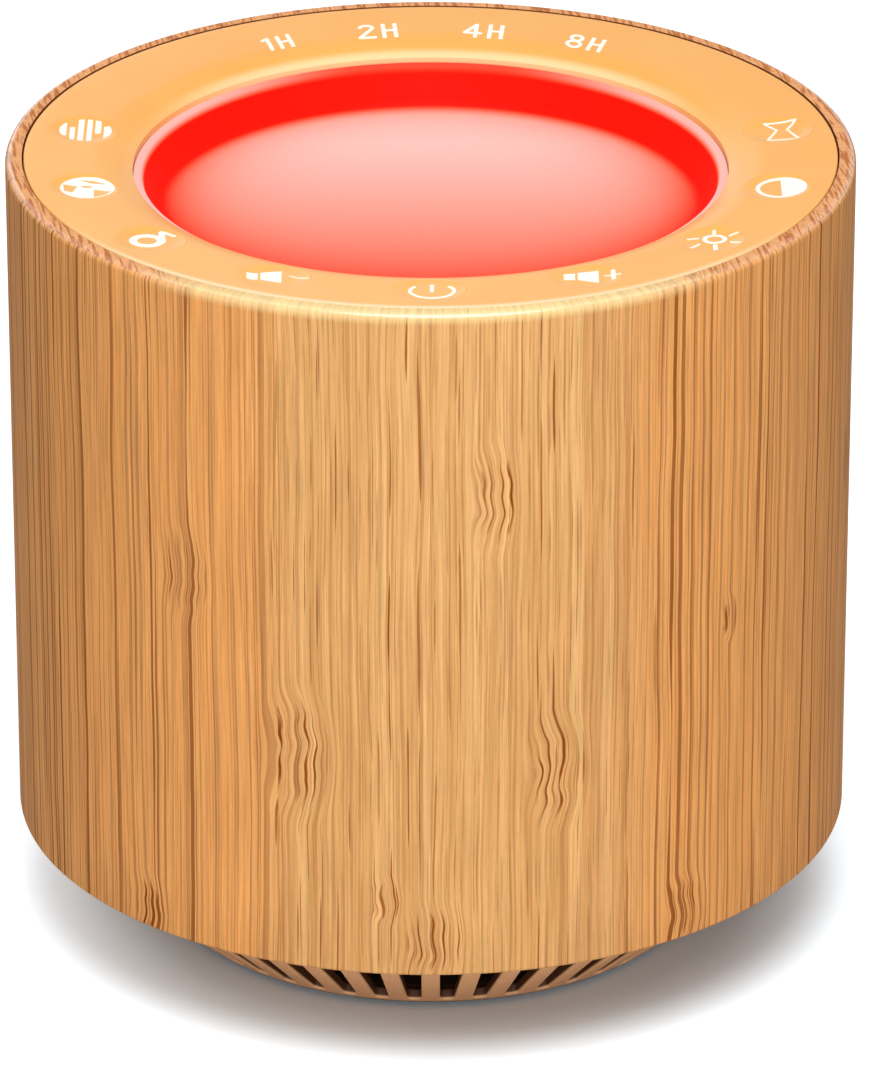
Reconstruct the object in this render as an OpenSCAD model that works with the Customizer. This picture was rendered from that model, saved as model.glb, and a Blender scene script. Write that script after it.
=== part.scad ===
// Bedside sound machine: a bamboo drum with a dished lamp and nine keys in its top,
// and a downward speaker that sounds out through a tapering grille at its foot.
// Millimetres, +Z up, origin on the axis at the underside of the foot ring, front towards -Y.

/* [Shell] */
// Outer diameter of the bamboo shell
shell_d = 100; // [94:0.5:110]
// Height of the bamboo shell
shell_h = 83.3; // [78:0.1:110]
// Thickness of the shell's wall
shell_wall = 3.2; // [2.8:0.1:3.6]
// Radius that rounds the shell's upper outer edge
shell_edge_r = 1; // [0.4:0.1:1.4]
// Radius that rounds the shell's lower outer edge
shell_foot_edge_r = 0.4; // [0.2:0.1:1]
// Width of the ledge inside the shell's mouth that carries the panel
seat_w = 1.2; // [0.8:0.1:1.4]
// Depth of that ledge below the shell's top
seat_depth = 2.6; // [2.2:0.1:3]

/* [Top panel] */
// Gap between the panel's edge and the shell
panel_gap = 0.15; // [0.1:0.05:0.3]
// How far the panel's edge lies below the shell's top
panel_sink = 0.1; // [0:0.05:0.4]
// Slope of the panel down towards the lamp, in degrees
panel_slope = 2.3; // [1:0.1:3]
// Rounding of the panel's outer edge
panel_edge_r = 0.35; // [0.2:0.05:0.6]
// Width of the round shoulder beside the lamp
shoulder_w = 4.7; // [4:0.1:5.5]
// Angle that the shoulder turns down by
shoulder_turn = 31; // [20:1:50]
// Depth of the panel's flat underside below the shell's top
panel_depth = 3.2; // [3:0.1:3.6]
// Wall of the collar that hangs from the panel round the lamp
collar_wall = 0.8; // [0.6:0.1:1]
// Length of that collar below the panel's underside
collar_h = 1.5; // [1.2:0.1:2.5]

/* [Lamp] */
// Outer diameter of the lamp's lip
lamp_d = 70; // [66:0.2:72]
// Gap between the lip and the panel
lamp_gap = 0.2; // [0.1:0.05:0.3]
// Width of the lip
lip_w = 1; // [0.8:0.1:1.6]
// How far the lip's top lies below the shell's top
lip_sink = 2.3; // [1.8:0.05:2.8]
// Depth of the dish from the lip's top to its floor
dish_depth = 5.55; // [4.5:0.05:7.5]
// How much the dish narrows from the lip to its floor, on the radius
dish_draft = 1.4; // [0.8:0.1:2.5]
// Radius between the dish's wall and its floor
dish_fillet = 2.5; // [1:0.1:3.5]
// Thickness of the dish's floor
dish_floor_t = 2; // [1.5:0.1:3]
// Thickness of the flange that holds the dish under the panel
dish_flange_t = 1.2; // [1:0.1:1.6]
// Height of the light chamber under the dish
chamber_h = 6; // [5:0.1:10]
// Wall of the reflector round the light chamber
reflector_wall = 1; // [0.8:0.1:1.4]
// Number of lamps in the outer ring on the lamp board
lamp_led_count = 12; // [8:1:16]
// Diameter of the outer ring of lamps
lamp_led_ring_d = 49.6; // [44:0.2:54]
// Diameter of the inner ring of lamps
lamp_led_inner_ring_d = 25.6; // [20:0.2:30]
// Width of a lamp on the lamp board
lamp_led_w = 3.5; // [2.8:0.1:5]
// Height of a lamp on the lamp board
lamp_led_h = 1.4; // [0.8:0.1:2]

/* [Keys] */
// Diameter of a key
key_d = 8.4; // [7:0.1:8.8]
// Gap between a key and its hole
key_gap = 0.15; // [0.1:0.05:0.2]
// Depth of the dimple in a key
key_dish = 0.25; // [0.15:0.05:0.7]
// Flat land round the dimple
key_land = 0.2; // [0.1:0.05:0.4]
// Travel of a key
key_travel = 0.5; // [0.3:0.05:0.8]
// Distance of the keys' circle outwards from the middle of the panel's ring
key_shift = 0.2; // [0:0.05:0.3]
// Angle from one key to the next
key_pitch = 25; // [23:0.1:26]
// Angle from one timer mark to the next
timer_pitch = 18.4; // [16:0.1:20]
// Half length of the two ears that keep a key in its hole
key_ear = 5.8; // [5.4:0.1:6.2]
// Thickness of those ears
key_ear_t = 0.8; // [0.6:0.1:1]
// Gap between the ears and the panel
key_ear_gap = 0.2; // [0.1:0.05:0.3]
// Diameter of the stem that presses the switch
key_stem_d = 3; // [2.5:0.1:3.5]
// Height from the key board to the panel's underside
key_room = 6.8; // [6.4:0.1:8]
// Height of a switch without its plunger
switch_h = 1.6; // [1.4:0.1:2]
// Height of a switch's plunger
plunger_h = 0.4; // [0.3:0.05:0.6]
// Diameter of a switch's plunger
plunger_d = 3.2; // [2.4:0.1:3.6]
// Width of a switch
switch_w = 5.2; // [4.6:0.1:5.4]
// Width of a key's lamp, which stands beside the switch
key_led_w = 1.6; // [1:0.1:2]
// Height of a key's lamp
key_led_h = 0.6; // [0.4:0.1:0.8]
// Length of a timer mark's light pipe along the circle of keys
light_pipe_w = 5.2; // [4.8:0.1:6]
// Depth of a timer mark's light pipe across that circle
light_pipe_t = 3.2; // [2.6:0.1:3.6]
// Length of a timer mark's lamp
timer_led_w = 3.2; // [2.6:0.1:4]
// Height of a timer mark's lamp
timer_led_h = 1.2; // [0.8:0.1:1.6]

/* [Base] */
// Height of the grille below the shell
base_h = 12.8; // [11:0.1:16]
// Diameter of the grille at the shell
base_top_d = 93; // [90:0.5:93]
// Diameter of the grille at its lower rim
base_bottom_d = 64.4; // [62:0.2:70]
// Thickness of the grille
grille_t = 1.2; // [1:0.1:2]
// Number of slots round the grille
slot_count = 54; // [40:1:60]
// Width of the bars between the slots
bar_w = 2.2; // [1.6:0.1:2.4]
// Height of the solid rim below the slots
slot_foot = 0.9; // [0.6:0.1:1.6]
// Height of the solid band above the slots
slot_head = 2; // [1.9:0.1:3]
// Size of the cut corners of a slot
slot_corner = 0.3; // [0.1:0.05:0.5]
// Width of the lower rim
rim_w = 1.6; // [1.2:0.1:2]
// Height of the lower rim
rim_h = 1.4; // [1.2:0.1:1.8]
// Height of the grille's flange inside the shell's foot
flange_h = 1.9; // [1.6:0.1:3]
// Gap round that flange
flange_gap = 0.2; // [0.1:0.05:0.3]
// Thickness of the base floor
floor_t = 1.4; // [1.3:0.1:1.8]
// Diameter of the sound deflector at its foot
deflector_d = 34; // [24:0.5:38]
// Height of the sound deflector
deflector_h = 7.5; // [4:0.1:9]
// Radius of the sound deflector's round tip
deflector_tip_r = 2.5; // [1.5:0.1:4]

/* [Foot ring] */
// Middle diameter of the rubber foot ring
foot_d = 49; // [46:0.2:54]
// Width of the rubber foot ring
foot_w = 4.6; // [4.4:0.1:5.6]
// Thickness of the rubber foot ring
foot_t = 1.2; // [1.1:0.05:1.4]
// How far the foot ring stands out below the base
foot_proud = 0.7; // [0.5:0.05:0.9]

/* [Speaker] */
// Thickness of the baffle that carries the speaker
baffle_t = 2; // [1.6:0.1:3]
// Diameter of the speaker's flange
speaker_d = 55; // [54:0.2:56]
// Thickness of the speaker's flange
speaker_flange_t = 1.2; // [1:0.1:1.6]
// Thickness of the speaker's gasket
gasket_t = 0.6; // [0.4:0.1:1]
// Opening of the speaker's basket
basket_mouth_d = 45.2; // [44.8:0.2:45.6]
// Depth of the basket from its flange to the spider's ledge
basket_depth = 9.2; // [8.6:0.1:11]
// Height from the spider's ledge to the back of the basket
basket_neck_h = 4.8; // [4.2:0.1:6]
// Outer diameter of the basket's neck
basket_neck_d = 35; // [34:0.2:36]
// Thickness of the basket's sheet
basket_t = 1; // [0.8:0.1:1.2]
// Thickness of the cone's paper, of the surround and of the spider
paper_t = 0.4; // [0.3:0.05:0.5]
// Inner diameter of the voice coil
coil_d = 13.9; // [13:0.1:15]
// Thickness of the voice coil's former
coil_t = 0.3; // [0.2:0.05:0.4]
// Running gap on each side of the voice coil
coil_gap = 0.2; // [0.15:0.05:0.3]
// Travel of the cone each way
cone_travel = 0.8; // [0.5:0.1:1]
// Diameter of the cone's outer edge
cone_d = 39.6; // [39:0.2:40]
// Diameter of the dust cap
cap_d = 19; // [17:0.2:22]
// Thickness of the magnet's front plate
plate_t = 3; // [2.5:0.1:4]
// Height of the magnet
magnet_h = 7; // [6:0.1:10]
// Diameter of the magnet
magnet_d = 36; // [35:0.5:40]
// Width of each window in the basket
window_w = 14; // [10:0.5:16]
// Width of the strip that carries the speaker's terminals
terminal_strip_w = 9; // [8:0.1:10]
// Height of that strip
terminal_strip_h = 6.4; // [6:0.1:7]
// Thickness of that strip
terminal_strip_t = 0.8; // [0.6:0.1:1.2]
// Distance from one terminal to the other
terminal_pitch = 4.8; // [4:0.1:6]
// Width of a terminal
terminal_w = 1.8; // [1.4:0.1:2.2]
// Height of a terminal
terminal_h = 2.4; // [2:0.1:3]
// Inner diameter of the magnet
magnet_hole_d = 20; // [18:0.5:22]

/* [Inner frame and boards] */
// Gap between the inner parts and the shell
frame_gap = 0.3; // [0.2:0.05:0.5]
// Wall of the inner frame
frame_wall = 1.3; // [1.1:0.1:1.5]
// Thickness of the inner frame's deck
deck_t = 2; // [1.6:0.1:3]
// Thickness of the circuit boards
board_t = 1.6; // [1.2:0.1:1.8]
// Width of the main board
board_w = 40; // [38:0.5:41]
// Height of the main board
board_h = 44.6; // [42:0.2:50]
// Depth of the main board's outer face behind the shell's outer face
board_setback = 12; // [11.6:0.1:12.4]
// Width of the rails that hold the main board
rail_w = 3; // [2.6:0.1:3.2]
// Diameter of the wires
wire_d = 1.2; // [0.8:0.1:1.6]
// Width of the flat lead to the key board
ribbon_w = 8; // [5:0.5:12]
// Thickness of that lead
ribbon_t = 0.4; // [0.3:0.05:0.8]
// Width of the lamp lead's connector
connector_w = 6; // [5:0.1:8]
// Height of that connector
connector_h = 4.4; // [3.6:0.1:6]
// Depth of that connector
connector_depth = 3.6; // [3:0.1:5]
// Depth of that connector below the main board's upper edge
connector_drop = 1.8; // [1:0.1:4]
// Distance from that connector to the hole in the deck that the lamp lead comes through
lamp_lead_reach = 8.8; // [8:0.1:12]
// Width of the chip that makes the sounds
sound_chip_w = 8; // [6:0.5:9]
// Width of the chip that drives the speaker
amplifier_chip_w = 5; // [4:0.5:6]
// Height of the chips
chip_h = 1.1; // [0.8:0.1:1.5]
// Diameter of a capacitor
capacitor_d = 6.3; // [5:0.1:6.6]
// Height of a capacitor
capacitor_h = 7; // [5:0.5:8]

/* [Power socket] */
// Height of the socket's middle above the shell's lower edge
socket_rise = 14; // [12:0.5:22]
// Width of the recess round the socket
recess_w = 12; // [11:0.1:13]
// Height of the recess round the socket
recess_h = 6.6; // [6:0.1:7.5]
// Wall of the socket's bezel
bezel_wall = 0.8; // [0.6:0.1:1.2]
// Depth of the bezel's floor behind the shell's outer face
recess_depth = 5; // [4.8:0.1:5.4]
// Width of the socket's metal mouth
port_w = 8.94; // [8.5:0.02:9.2]
// Height of the socket's metal mouth
port_h = 3.26; // [3:0.02:3.6]

/* [Fasteners] */
// Diameter of the screws' shanks
screw_d = 2; // [1.8:0.1:2.2]
// Diameter of the screws' heads
screw_head_d = 3.8; // [3.4:0.1:4]
// Height of the screws' heads
screw_head_h = 1; // [0.8:0.1:1.2]
// Distance of the base screws from the axis
base_screw_r = 38; // [37.5:0.1:38.5]
// Diameter of the posts that take the base screws
post_d = 6.4; // [5.6:0.1:7]

/* [Hidden] */
$fn = 96;

// How far shapes that are joined run into each other, and how far cuts run past a face
lap = 0.5;
past = 1;

// Heights of the shell and of what hangs from its mouth
shell_z = foot_proud + base_h;
top_z = shell_z + shell_h;
seat_z = top_z - seat_depth;
panel_under_z = top_z - panel_depth;
collar_z = panel_under_z - collar_h;
key_board_top_z = panel_under_z - key_room;
key_board_z = key_board_top_z - board_t;
dish_floor_z = top_z - lip_sink - dish_depth;
dish_under_z = dish_floor_z - dish_floor_t;
lamp_board_top_z = dish_under_z - chamber_h;
deck_top_z = lamp_board_top_z - board_t;
deck_z = deck_top_z - deck_t;

// Radii of the shell and its mouth
shell_r = shell_d / 2;
bore_r = shell_r - shell_wall;
seat_r = bore_r + seat_w;
panel_r = seat_r - panel_gap;
lamp_r = lamp_d / 2;
lamp_hole_r = lamp_r + lamp_gap;
collar_r = lamp_hole_r + collar_wall;
shoulder_start_r = lamp_hole_r + shoulder_w;
shoulder_r = shoulder_w / (sin(shoulder_turn) - sin(panel_slope));
key_circle_r = (panel_r + lamp_hole_r) / 2 + key_shift;
key_r = key_d / 2;

// Heights and radii of the base
floor_z = foot_proud;
floor_top_z = floor_z + floor_t;
base_bottom_r = base_bottom_d / 2;
base_top_r = base_top_d / 2;
cone_angle = atan(base_h / (base_top_r - base_bottom_r));
cone_wall = grille_t / sin(cone_angle);
floor_r = base_bottom_r - rim_w - flange_gap;
foot_seat_z = foot_t;
foot_gap = 0.1;
flange_r = seat_r - flange_gap;
flange_inner_r = base_screw_r - post_d / 2;
baffle_z = shell_z + flange_h;
baffle_top_z = baffle_z + baffle_t;
frame_r = bore_r - frame_gap;

// Screws: the floor's screws are hidden under the foot ring
floor_screw_r = foot_d / 2;
corner_angles = [45, 135, 225, 315];
pilot_gap = 0.05;
pilot_d = screw_d + 2 * pilot_gap;
clearance_gap = 0.2;
clearance_d = screw_d + 2 * clearance_gap;
sunk_head_d = screw_head_d + 2 * clearance_gap;
floor_boss_wall = 0.7;
floor_boss_d = sunk_head_d + 2 * floor_boss_wall;
floor_boss_h = 1.6;
column_wall = 1.35;
column_d = pilot_d + 2 * column_wall;
column_z = floor_top_z + floor_boss_h;
screw_bite = 8;

// Speaker, from its gasket on the baffle up to its yoke
gasket_top_z = baffle_top_z + gasket_t;
basket_top_z = gasket_top_z + speaker_flange_t;
ledge_z = basket_top_z + basket_depth - speaker_flange_t;
neck_top_z = ledge_z + basket_neck_h;
plate_top_z = neck_top_z + plate_t;
magnet_top_z = plate_top_z + magnet_h;
yoke_top_z = magnet_top_z + plate_t;
speaker_r = speaker_d / 2;
mouth_r = basket_mouth_d / 2;
rim_land = 1.6;
land_r = mouth_r + rim_land;
neck_r = basket_neck_d / 2;
magnet_r = magnet_d / 2;
magnet_hole_r = magnet_hole_d / 2;
coil_r = coil_d / 2;
coil_outer_r = coil_r + coil_t;
winding_r = coil_outer_r + coil_gap;
hole_step = 0.6;
speaker_hole_r = mouth_r + hole_step;
speaker_screw_r = (land_r + speaker_r) / 2;
cone_r = cone_d / 2;
cone_land = 1;
cone_flare = 1.25;
spider_land = 2;
plate_step = 1;
plate_r = magnet_r - plate_step;
cone_neck_drop = 1.7;
cone_neck_z = ledge_z - cone_neck_drop;
cone_rim_z = gasket_top_z + paper_t;
terminal_offset = 1.4;
terminal_y = mouth_r + basket_t + terminal_offset;
terminal_proud = 0.4;
terminal_t = terminal_strip_t + terminal_proud;
terminal_z = basket_top_z + terminal_strip_h - 0.75 * terminal_h;

// Main board against the shell's back, with the socket on its outer face
board_back_y = shell_r - board_setback;
board_y = board_back_y - board_t;
board_bottom_z = baffle_top_z;
board_top_z = board_bottom_z + board_h;
groove_gap = 0.1;
groove_depth = 0.6;
socket_z = shell_z + socket_rise;
recess_floor_y = shell_r - recess_depth;
bezel_back_y = recess_floor_y - bezel_wall;
bezel_gap = 0.1;
bezel_w = recess_w + 2 * bezel_wall;
bezel_h = recess_h + 2 * bezel_wall;
bezel_lug = 1.6;

// Places on the main board: two columns, and two rows above the socket
chip_x = board_w / 5;
can_x = board_w / 4;
upper_row_z = socket_z + 0.36 * board_h;
lower_row_z = socket_z + 0.13 * board_h;
lead_end_z = board_top_z - connector_h / 2 - connector_drop;
lamp_lead_x = -chip_x;
lamp_lead_y = board_y - connector_depth - lamp_lead_reach;
ribbon_plug_t = 1.8;
ribbon_plug_h = 3;
ribbon_reach = 1.9;
ribbon_y = board_back_y + ribbon_plug_t + ribbon_reach;
ribbon_gap = 0.6;

// Angles of the keys and of the timer marks, the front being at -90
key_angles = [for (i = [-4 : 4]) -90 + i * key_pitch];
timer_angles = [for (i = [-1.5 : 1.5]) 90 + i * timer_pitch];
back_boss_angle = (key_angles[8] + timer_angles[0]) / 2;
boss_angles = [-90 - 1.5 * key_pitch, -90 + 1.5 * key_pitch, back_boss_angle, 180 - back_boss_angle];
boss_wall = 0.9;
boss_d = screw_d + 2 * boss_wall;
key_ear_top_z = panel_under_z - key_ear_gap;
key_ear_z = key_ear_top_z - key_ear_t;
switch_top_z = key_board_top_z + switch_h + plunger_h;
stem_gap = 0.1;
board_gap = 0.3;
stem_z = switch_top_z + key_travel + stem_gap;
key_board_r = frame_r - board_gap;
key_board_gap = 0.7;

// Number of steps along the panel's shoulder
shoulder_steps = 6;

// Points along an arc from angle a to angle b
function arc(x, y, r, a, b, steps = 4) =
    [for (i = [0 : steps]) let (t = a + (b - a) * i / steps) [x + r * cos(t), y + r * sin(t)]];

// Outline of a rectangle with round corners, about the origin
function round_box(w, h, r) = concat(
    arc(w / 2 - r, h / 2 - r, r, 0, 90),
    arc(r - w / 2, h / 2 - r, r, 90, 180),
    arc(r - w / 2, r - h / 2, r, 180, 270),
    arc(w / 2 - r, r - h / 2, r, 270, 360));

// Height of the panel's sloping face at radius r
function slope_z(r) = top_z - panel_sink - (panel_r - r) * tan(panel_slope);

// The panel's upper face, from its outer edge to the lamp
function panel_edge() = let (x = panel_r - panel_edge_r)
    arc(x, slope_z(x - panel_edge_r * sin(panel_slope)) - panel_edge_r * cos(panel_slope),
        panel_edge_r, 0, 90 + panel_slope, 3);
function panel_shoulder() =
    arc(shoulder_start_r + shoulder_r * sin(panel_slope),
        slope_z(shoulder_start_r) - shoulder_r * cos(panel_slope),
        shoulder_r, 90 + panel_slope, 90 + shoulder_turn, shoulder_steps);

module at(angle, r, z = 0) {
    rotate([0, 0, angle])
        translate([r, 0, z])
            children();
}

module ring(outer, inner, low, high) {
    rotate_extrude()
        translate([inner, low])
            square([outer - inner, high - low]);
}

module rod(r, low, high) {
    translate([0, 0, low])
        cylinder(r = r, h = high - low);
}

// A wire along straight runs, each of which runs on a little way past its bends
module wire(points, d) {
    last = len(points) - 2;
    for (i = [0 : last]) {
        run = points[i + 1] - points[i];
        start = i == 0 ? 0 : d / 4;
        end = i == last ? 0 : d / 4;
        translate(points[i])
            rotate([0, acos(run.z / norm(run)), atan2(run.y, run.x)])
                translate([0, 0, -start])
                    cylinder(d = d, h = norm(run) + start + end, $fn = 24);
    }
}

module screw(bottom, top, head_below = true) {
    rod(screw_d / 2, bottom, top);
    head_z = head_below ? bottom - screw_head_h : top;
    rod(screw_head_d / 2, head_z, head_z + screw_head_h);
}

// ---- Shell and top ----

module wood_shell() {
    color("BurlyWood")
        difference() {
            rotate_extrude($fn = 180)
                polygon(concat(
                    [[bore_r, shell_z + flange_h], [seat_r, shell_z + flange_h], [seat_r, shell_z]],
                    arc(shell_r - shell_foot_edge_r, shell_z + shell_foot_edge_r,
                        shell_foot_edge_r, -90, 0),
                    arc(shell_r - shell_edge_r, top_z - shell_edge_r, shell_edge_r, 0, 90, 5),
                    [[seat_r, top_z], [seat_r, seat_z], [bore_r, seat_z]]));
            socket_cut(bezel_w + 2 * bezel_gap, bezel_h + 2 * bezel_gap, shell_r - 2 * shell_wall);
        }
}

module top_panel() {
    lip_r = bore_r - frame_gap;
    color("SandyBrown")
        difference() {
            union() {
                rotate_extrude($fn = 180)
                    polygon(concat(
                        [[lamp_hole_r, collar_z], [collar_r, collar_z], [collar_r, panel_under_z],
                            [lip_r, panel_under_z], [lip_r, seat_z], [panel_r, seat_z]],
                        panel_edge(),
                        panel_shoulder()));
                for (angle = boss_angles)
                    at(angle, key_circle_r)
                        rod(boss_d / 2, key_board_top_z, panel_under_z + lap);
            }
            for (angle = key_angles)
                at(angle, key_circle_r)
                    rod(key_r + key_gap, collar_z, top_z + past);
            for (angle = boss_angles)
                at(angle, key_circle_r)
                    rod(pilot_d / 2, key_board_top_z - past, panel_under_z - lap);
        }
}

// ---- Keys ----

// All that lies below the panel's upper face
module below_panel_face() {
    rotate_extrude($fn = 180)
        polygon(concat(
            [[0, stem_z - past], [panel_r, stem_z - past]],
            panel_edge(),
            panel_shoulder(),
            [[0, panel_shoulder()[shoulder_steps].y]]));
}

module key(index) {
    dimple_r = key_r - key_land;
    ball_r = (dimple_r * dimple_r + key_dish * key_dish) / (2 * key_dish);
    color("SandyBrown") {
        difference() {
            intersection() {
                at(key_angles[index], key_circle_r)
                    union() {
                        rod(key_r, key_ear_z, top_z + past);
                        rod(key_stem_d / 2, stem_z, key_ear_z + lap);
                        translate([-key_r / 2, -key_ear, key_ear_z])
                            cube([key_r, 2 * key_ear, key_ear_t]);
                    }
                below_panel_face();
            }
            at(key_angles[index], key_circle_r, slope_z(key_circle_r))
                rotate([0, -panel_slope, 0])
                    translate([0, 0, ball_r - key_dish])
                        sphere(r = ball_r, $fn = 180);
        }
    }
}

module key_white_noise() { key(0); }
module key_fan_sound() { key(1); }
module key_lullaby() { key(2); }
module key_volume_down() { key(3); }
module key_power() { key(4); }
module key_volume_up() { key(5); }
module key_brightness() { key(6); }
module key_light_colour() { key(7); }
module key_timer() { key(8); }

// ---- Lamp ----

module lamp_diffuser() {
    lip_r = lip_w / 2;
    lip_top_z = top_z - lip_sink;
    wall_r = lamp_r - lip_w;
    foot_r = wall_r - dish_draft;
    flange_z = collar_z - dish_flange_t;
    body_step = 0.4;
    body_r = lamp_r - body_step;
    color("LightCoral")
        rotate_extrude($fn = 180)
            polygon(concat(
                [[0, dish_under_z], [body_r, dish_under_z], [body_r, flange_z],
                    [collar_r, flange_z], [collar_r, collar_z], [lamp_r, collar_z]],
                arc(lamp_r - lip_r, lip_top_z - lip_r, lip_r, 0, 180, 8),
                arc(foot_r - dish_fillet, dish_floor_z + dish_fillet, dish_fillet, 0, -90, 5),
                [[0, dish_floor_z]]));
}

module light_reflector() {
    foot_inset = 3.6;
    mouth_inset = 1;
    mouth_gap = 0.1;
    foot_r = lamp_r - foot_inset;
    mouth_r = lamp_r - mouth_inset;
    mouth_z = dish_under_z - mouth_gap;
    color("WhiteSmoke")
        rotate_extrude()
            polygon([[foot_r - reflector_wall, lamp_board_top_z], [foot_r, lamp_board_top_z],
                [mouth_r, mouth_z], [mouth_r - reflector_wall, mouth_z]]);
}

module lamp_board() {
    board_inset = 1.6;
    color("WhiteSmoke")
        rod(lamp_r - board_inset, deck_top_z, lamp_board_top_z);
}

module lamp_leds() {
    rows = [[lamp_led_count, lamp_led_ring_d / 2], [floor(lamp_led_count / 2), lamp_led_inner_ring_d / 2]];
    color("White")
        for (row = rows)
            for (i = [0 : row[0] - 1])
                at(i * 360 / row[0], row[1])
                    translate([-lamp_led_w / 2, -lamp_led_w / 2, lamp_board_top_z])
                        cube([lamp_led_w, lamp_led_w, lamp_led_h]);
}

module key_board() {
    color("DarkGreen")
        difference() {
            ring(key_board_r, collar_r + key_board_gap, key_board_z, key_board_top_z);
            for (angle = boss_angles)
                at(angle, key_circle_r)
                    rod(clearance_d / 2, key_board_z - past, key_board_top_z + past);
        }
}

module key_switches() {
    color("DimGray")
        for (angle = key_angles)
            at(angle, key_circle_r)
                union() {
                    translate([-switch_w / 2, -switch_w / 2, key_board_top_z])
                        cube([switch_w, switch_w, switch_h]);
                    rod(plunger_d / 2, key_board_top_z + lap, switch_top_z);
                }
}

module key_leds() {
    led_gap = 0.4;
    color("White")
        for (angle = key_angles)
            at(angle, key_circle_r)
                translate([-key_led_w / 2, switch_w / 2 + led_gap, key_board_top_z])
                    cube([key_led_w, key_led_w / 2, key_led_h]);
}

module timer_light_pipes() {
    color("White")
        for (angle = timer_angles)
            at(angle, key_circle_r)
                translate([-light_pipe_t / 2, -light_pipe_w / 2, key_board_top_z + timer_led_h])
                    cube([light_pipe_t, light_pipe_w, key_room - timer_led_h]);
}

module timer_leds() {
    color("LightYellow")
        for (angle = timer_angles)
            at(angle, key_circle_r)
                translate([-timer_led_w / 4, -timer_led_w / 2, key_board_top_z])
                    cube([timer_led_w / 2, timer_led_w, timer_led_h]);
}

module panel_screws() {
    tip_gap = 1.3;
    color("Silver")
        for (angle = boss_angles)
            at(angle, key_circle_r)
                screw(deck_z, panel_under_z - lap - tip_gap);
}

// ---- Inner frame and electronics ----

module inner_frame() {
    guard_gap = 0.4;
    guard_step = 0.1;
    flange_land = 0.2;
    pillar_wall = 0.7;
    guard_r = collar_r + guard_gap;
    shelf_r = guard_r + frame_wall - guard_step;
    land_r = lamp_r - flange_land;
    shelf_z = collar_z - dish_flange_t;
    rail_lip = 1.6;
    rail_x = board_w / 2 - groove_depth;
    color("Gainsboro")
        difference() {
            union() {
                rotate_extrude()
                    polygon([[0, deck_z], [frame_r, deck_z], [frame_r, key_board_z],
                        [frame_r - frame_wall, key_board_z], [frame_r - frame_wall, deck_top_z],
                        [shelf_r, deck_top_z], [shelf_r, key_board_z], [guard_r, key_board_z],
                        [guard_r, shelf_z], [land_r, shelf_z], [land_r, deck_top_z],
                        [0, deck_top_z]]);
                for (angle = boss_angles)
                    at(angle, key_circle_r)
                        rod(boss_d / 2 + pillar_wall, deck_z + lap, key_board_z);
                for (angle = corner_angles)
                    at(angle, base_screw_r)
                        rod(post_d / 2, baffle_top_z, deck_z + lap);
                for (side = [-1, 1])
                    translate([side * (rail_x + rail_w / 2) - rail_w / 2, board_y - rail_lip, baffle_top_z])
                        cube([rail_w, board_t + 2 * rail_lip, deck_z + lap - baffle_top_z]);
            }
            translate([-board_w / 2 - groove_gap, board_y - groove_gap, baffle_top_z - past])
                cube([board_w + 2 * groove_gap, board_t + 2 * groove_gap, board_h + past + groove_gap]);
            for (angle = boss_angles)
                at(angle, key_circle_r)
                    rod(clearance_d / 2, deck_z - past, key_board_z + past);
            for (angle = corner_angles)
                at(angle, base_screw_r)
                    rod(pilot_d / 2, baffle_top_z - past, baffle_top_z + screw_bite + past);
            translate([lamp_lead_x, lamp_lead_y, 0])
                rod(wire_d, deck_z - past, deck_top_z + past);
            translate([-ribbon_w / 2 - ribbon_gap, ribbon_y - ribbon_gap, deck_z - past])
                cube([ribbon_w + 2 * ribbon_gap, ribbon_t + 2 * ribbon_gap, deck_t + 2 * past]);
        }
}

module main_board() {
    color("DarkGreen")
        translate([-board_w / 2, board_y, board_bottom_z])
            cube([board_w, board_t, board_h]);
}

module sound_chip() {
    color("DarkSlateGray")
        translate([-chip_x - sound_chip_w / 2, board_y - chip_h, upper_row_z - sound_chip_w / 2])
            cube([sound_chip_w, chip_h, sound_chip_w]);
}

module amplifier_chip() {
    color("DarkSlateGray")
        translate([chip_x - amplifier_chip_w / 2, board_y - chip_h, lower_row_z - amplifier_chip_w / 2])
            cube([amplifier_chip_w, chip_h, amplifier_chip_w]);
}

module capacitors() {
    color("SlateBlue")
        for (place = [[can_x, upper_row_z], [-can_x, lower_row_z]])
            translate([place.x, board_y, place.y])
                rotate([90, 0, 0])
                    cylinder(d = capacitor_d, h = capacitor_h);
}

module lead_connectors() {
    plug_wall = 1;
    color("Ivory") {
        translate([lamp_lead_x - connector_w / 2, board_y - connector_depth, lead_end_z - connector_h / 2])
            cube([connector_w, connector_depth, connector_h]);
        translate([-ribbon_w / 2 - plug_wall, board_back_y, lead_end_z - ribbon_plug_h / 2])
            cube([ribbon_w + 2 * plug_wall, ribbon_plug_t, ribbon_plug_h]);
    }
}

module key_ribbon() {
    color("White")
        union() {
            translate([-ribbon_w / 2, ribbon_y, lead_end_z])
                cube([ribbon_w, ribbon_t, key_board_z - lead_end_z]);
            translate([-ribbon_w / 2, board_back_y + ribbon_plug_t, lead_end_z])
                cube([ribbon_w, ribbon_y + ribbon_t - board_back_y - ribbon_plug_t, ribbon_t]);
        }
}

module lamp_lead() {
    bend_z = deck_z - 5 * wire_d;
    color("Crimson")
        wire([[lamp_lead_x, lamp_lead_y, deck_top_z],
            [lamp_lead_x, lamp_lead_y, bend_z],
            [lamp_lead_x, board_y - connector_depth - 2.5 * wire_d, lead_end_z],
            [lamp_lead_x, board_y - connector_depth, lead_end_z]], wire_d);
}

module speaker_leads() {
    color("Crimson")
        for (x = [-terminal_pitch / 2, terminal_pitch / 2])
            wire([[x, terminal_y + terminal_t, terminal_z], [x, board_y, terminal_z]], wire_d);
}

// ---- Power socket ----

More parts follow.
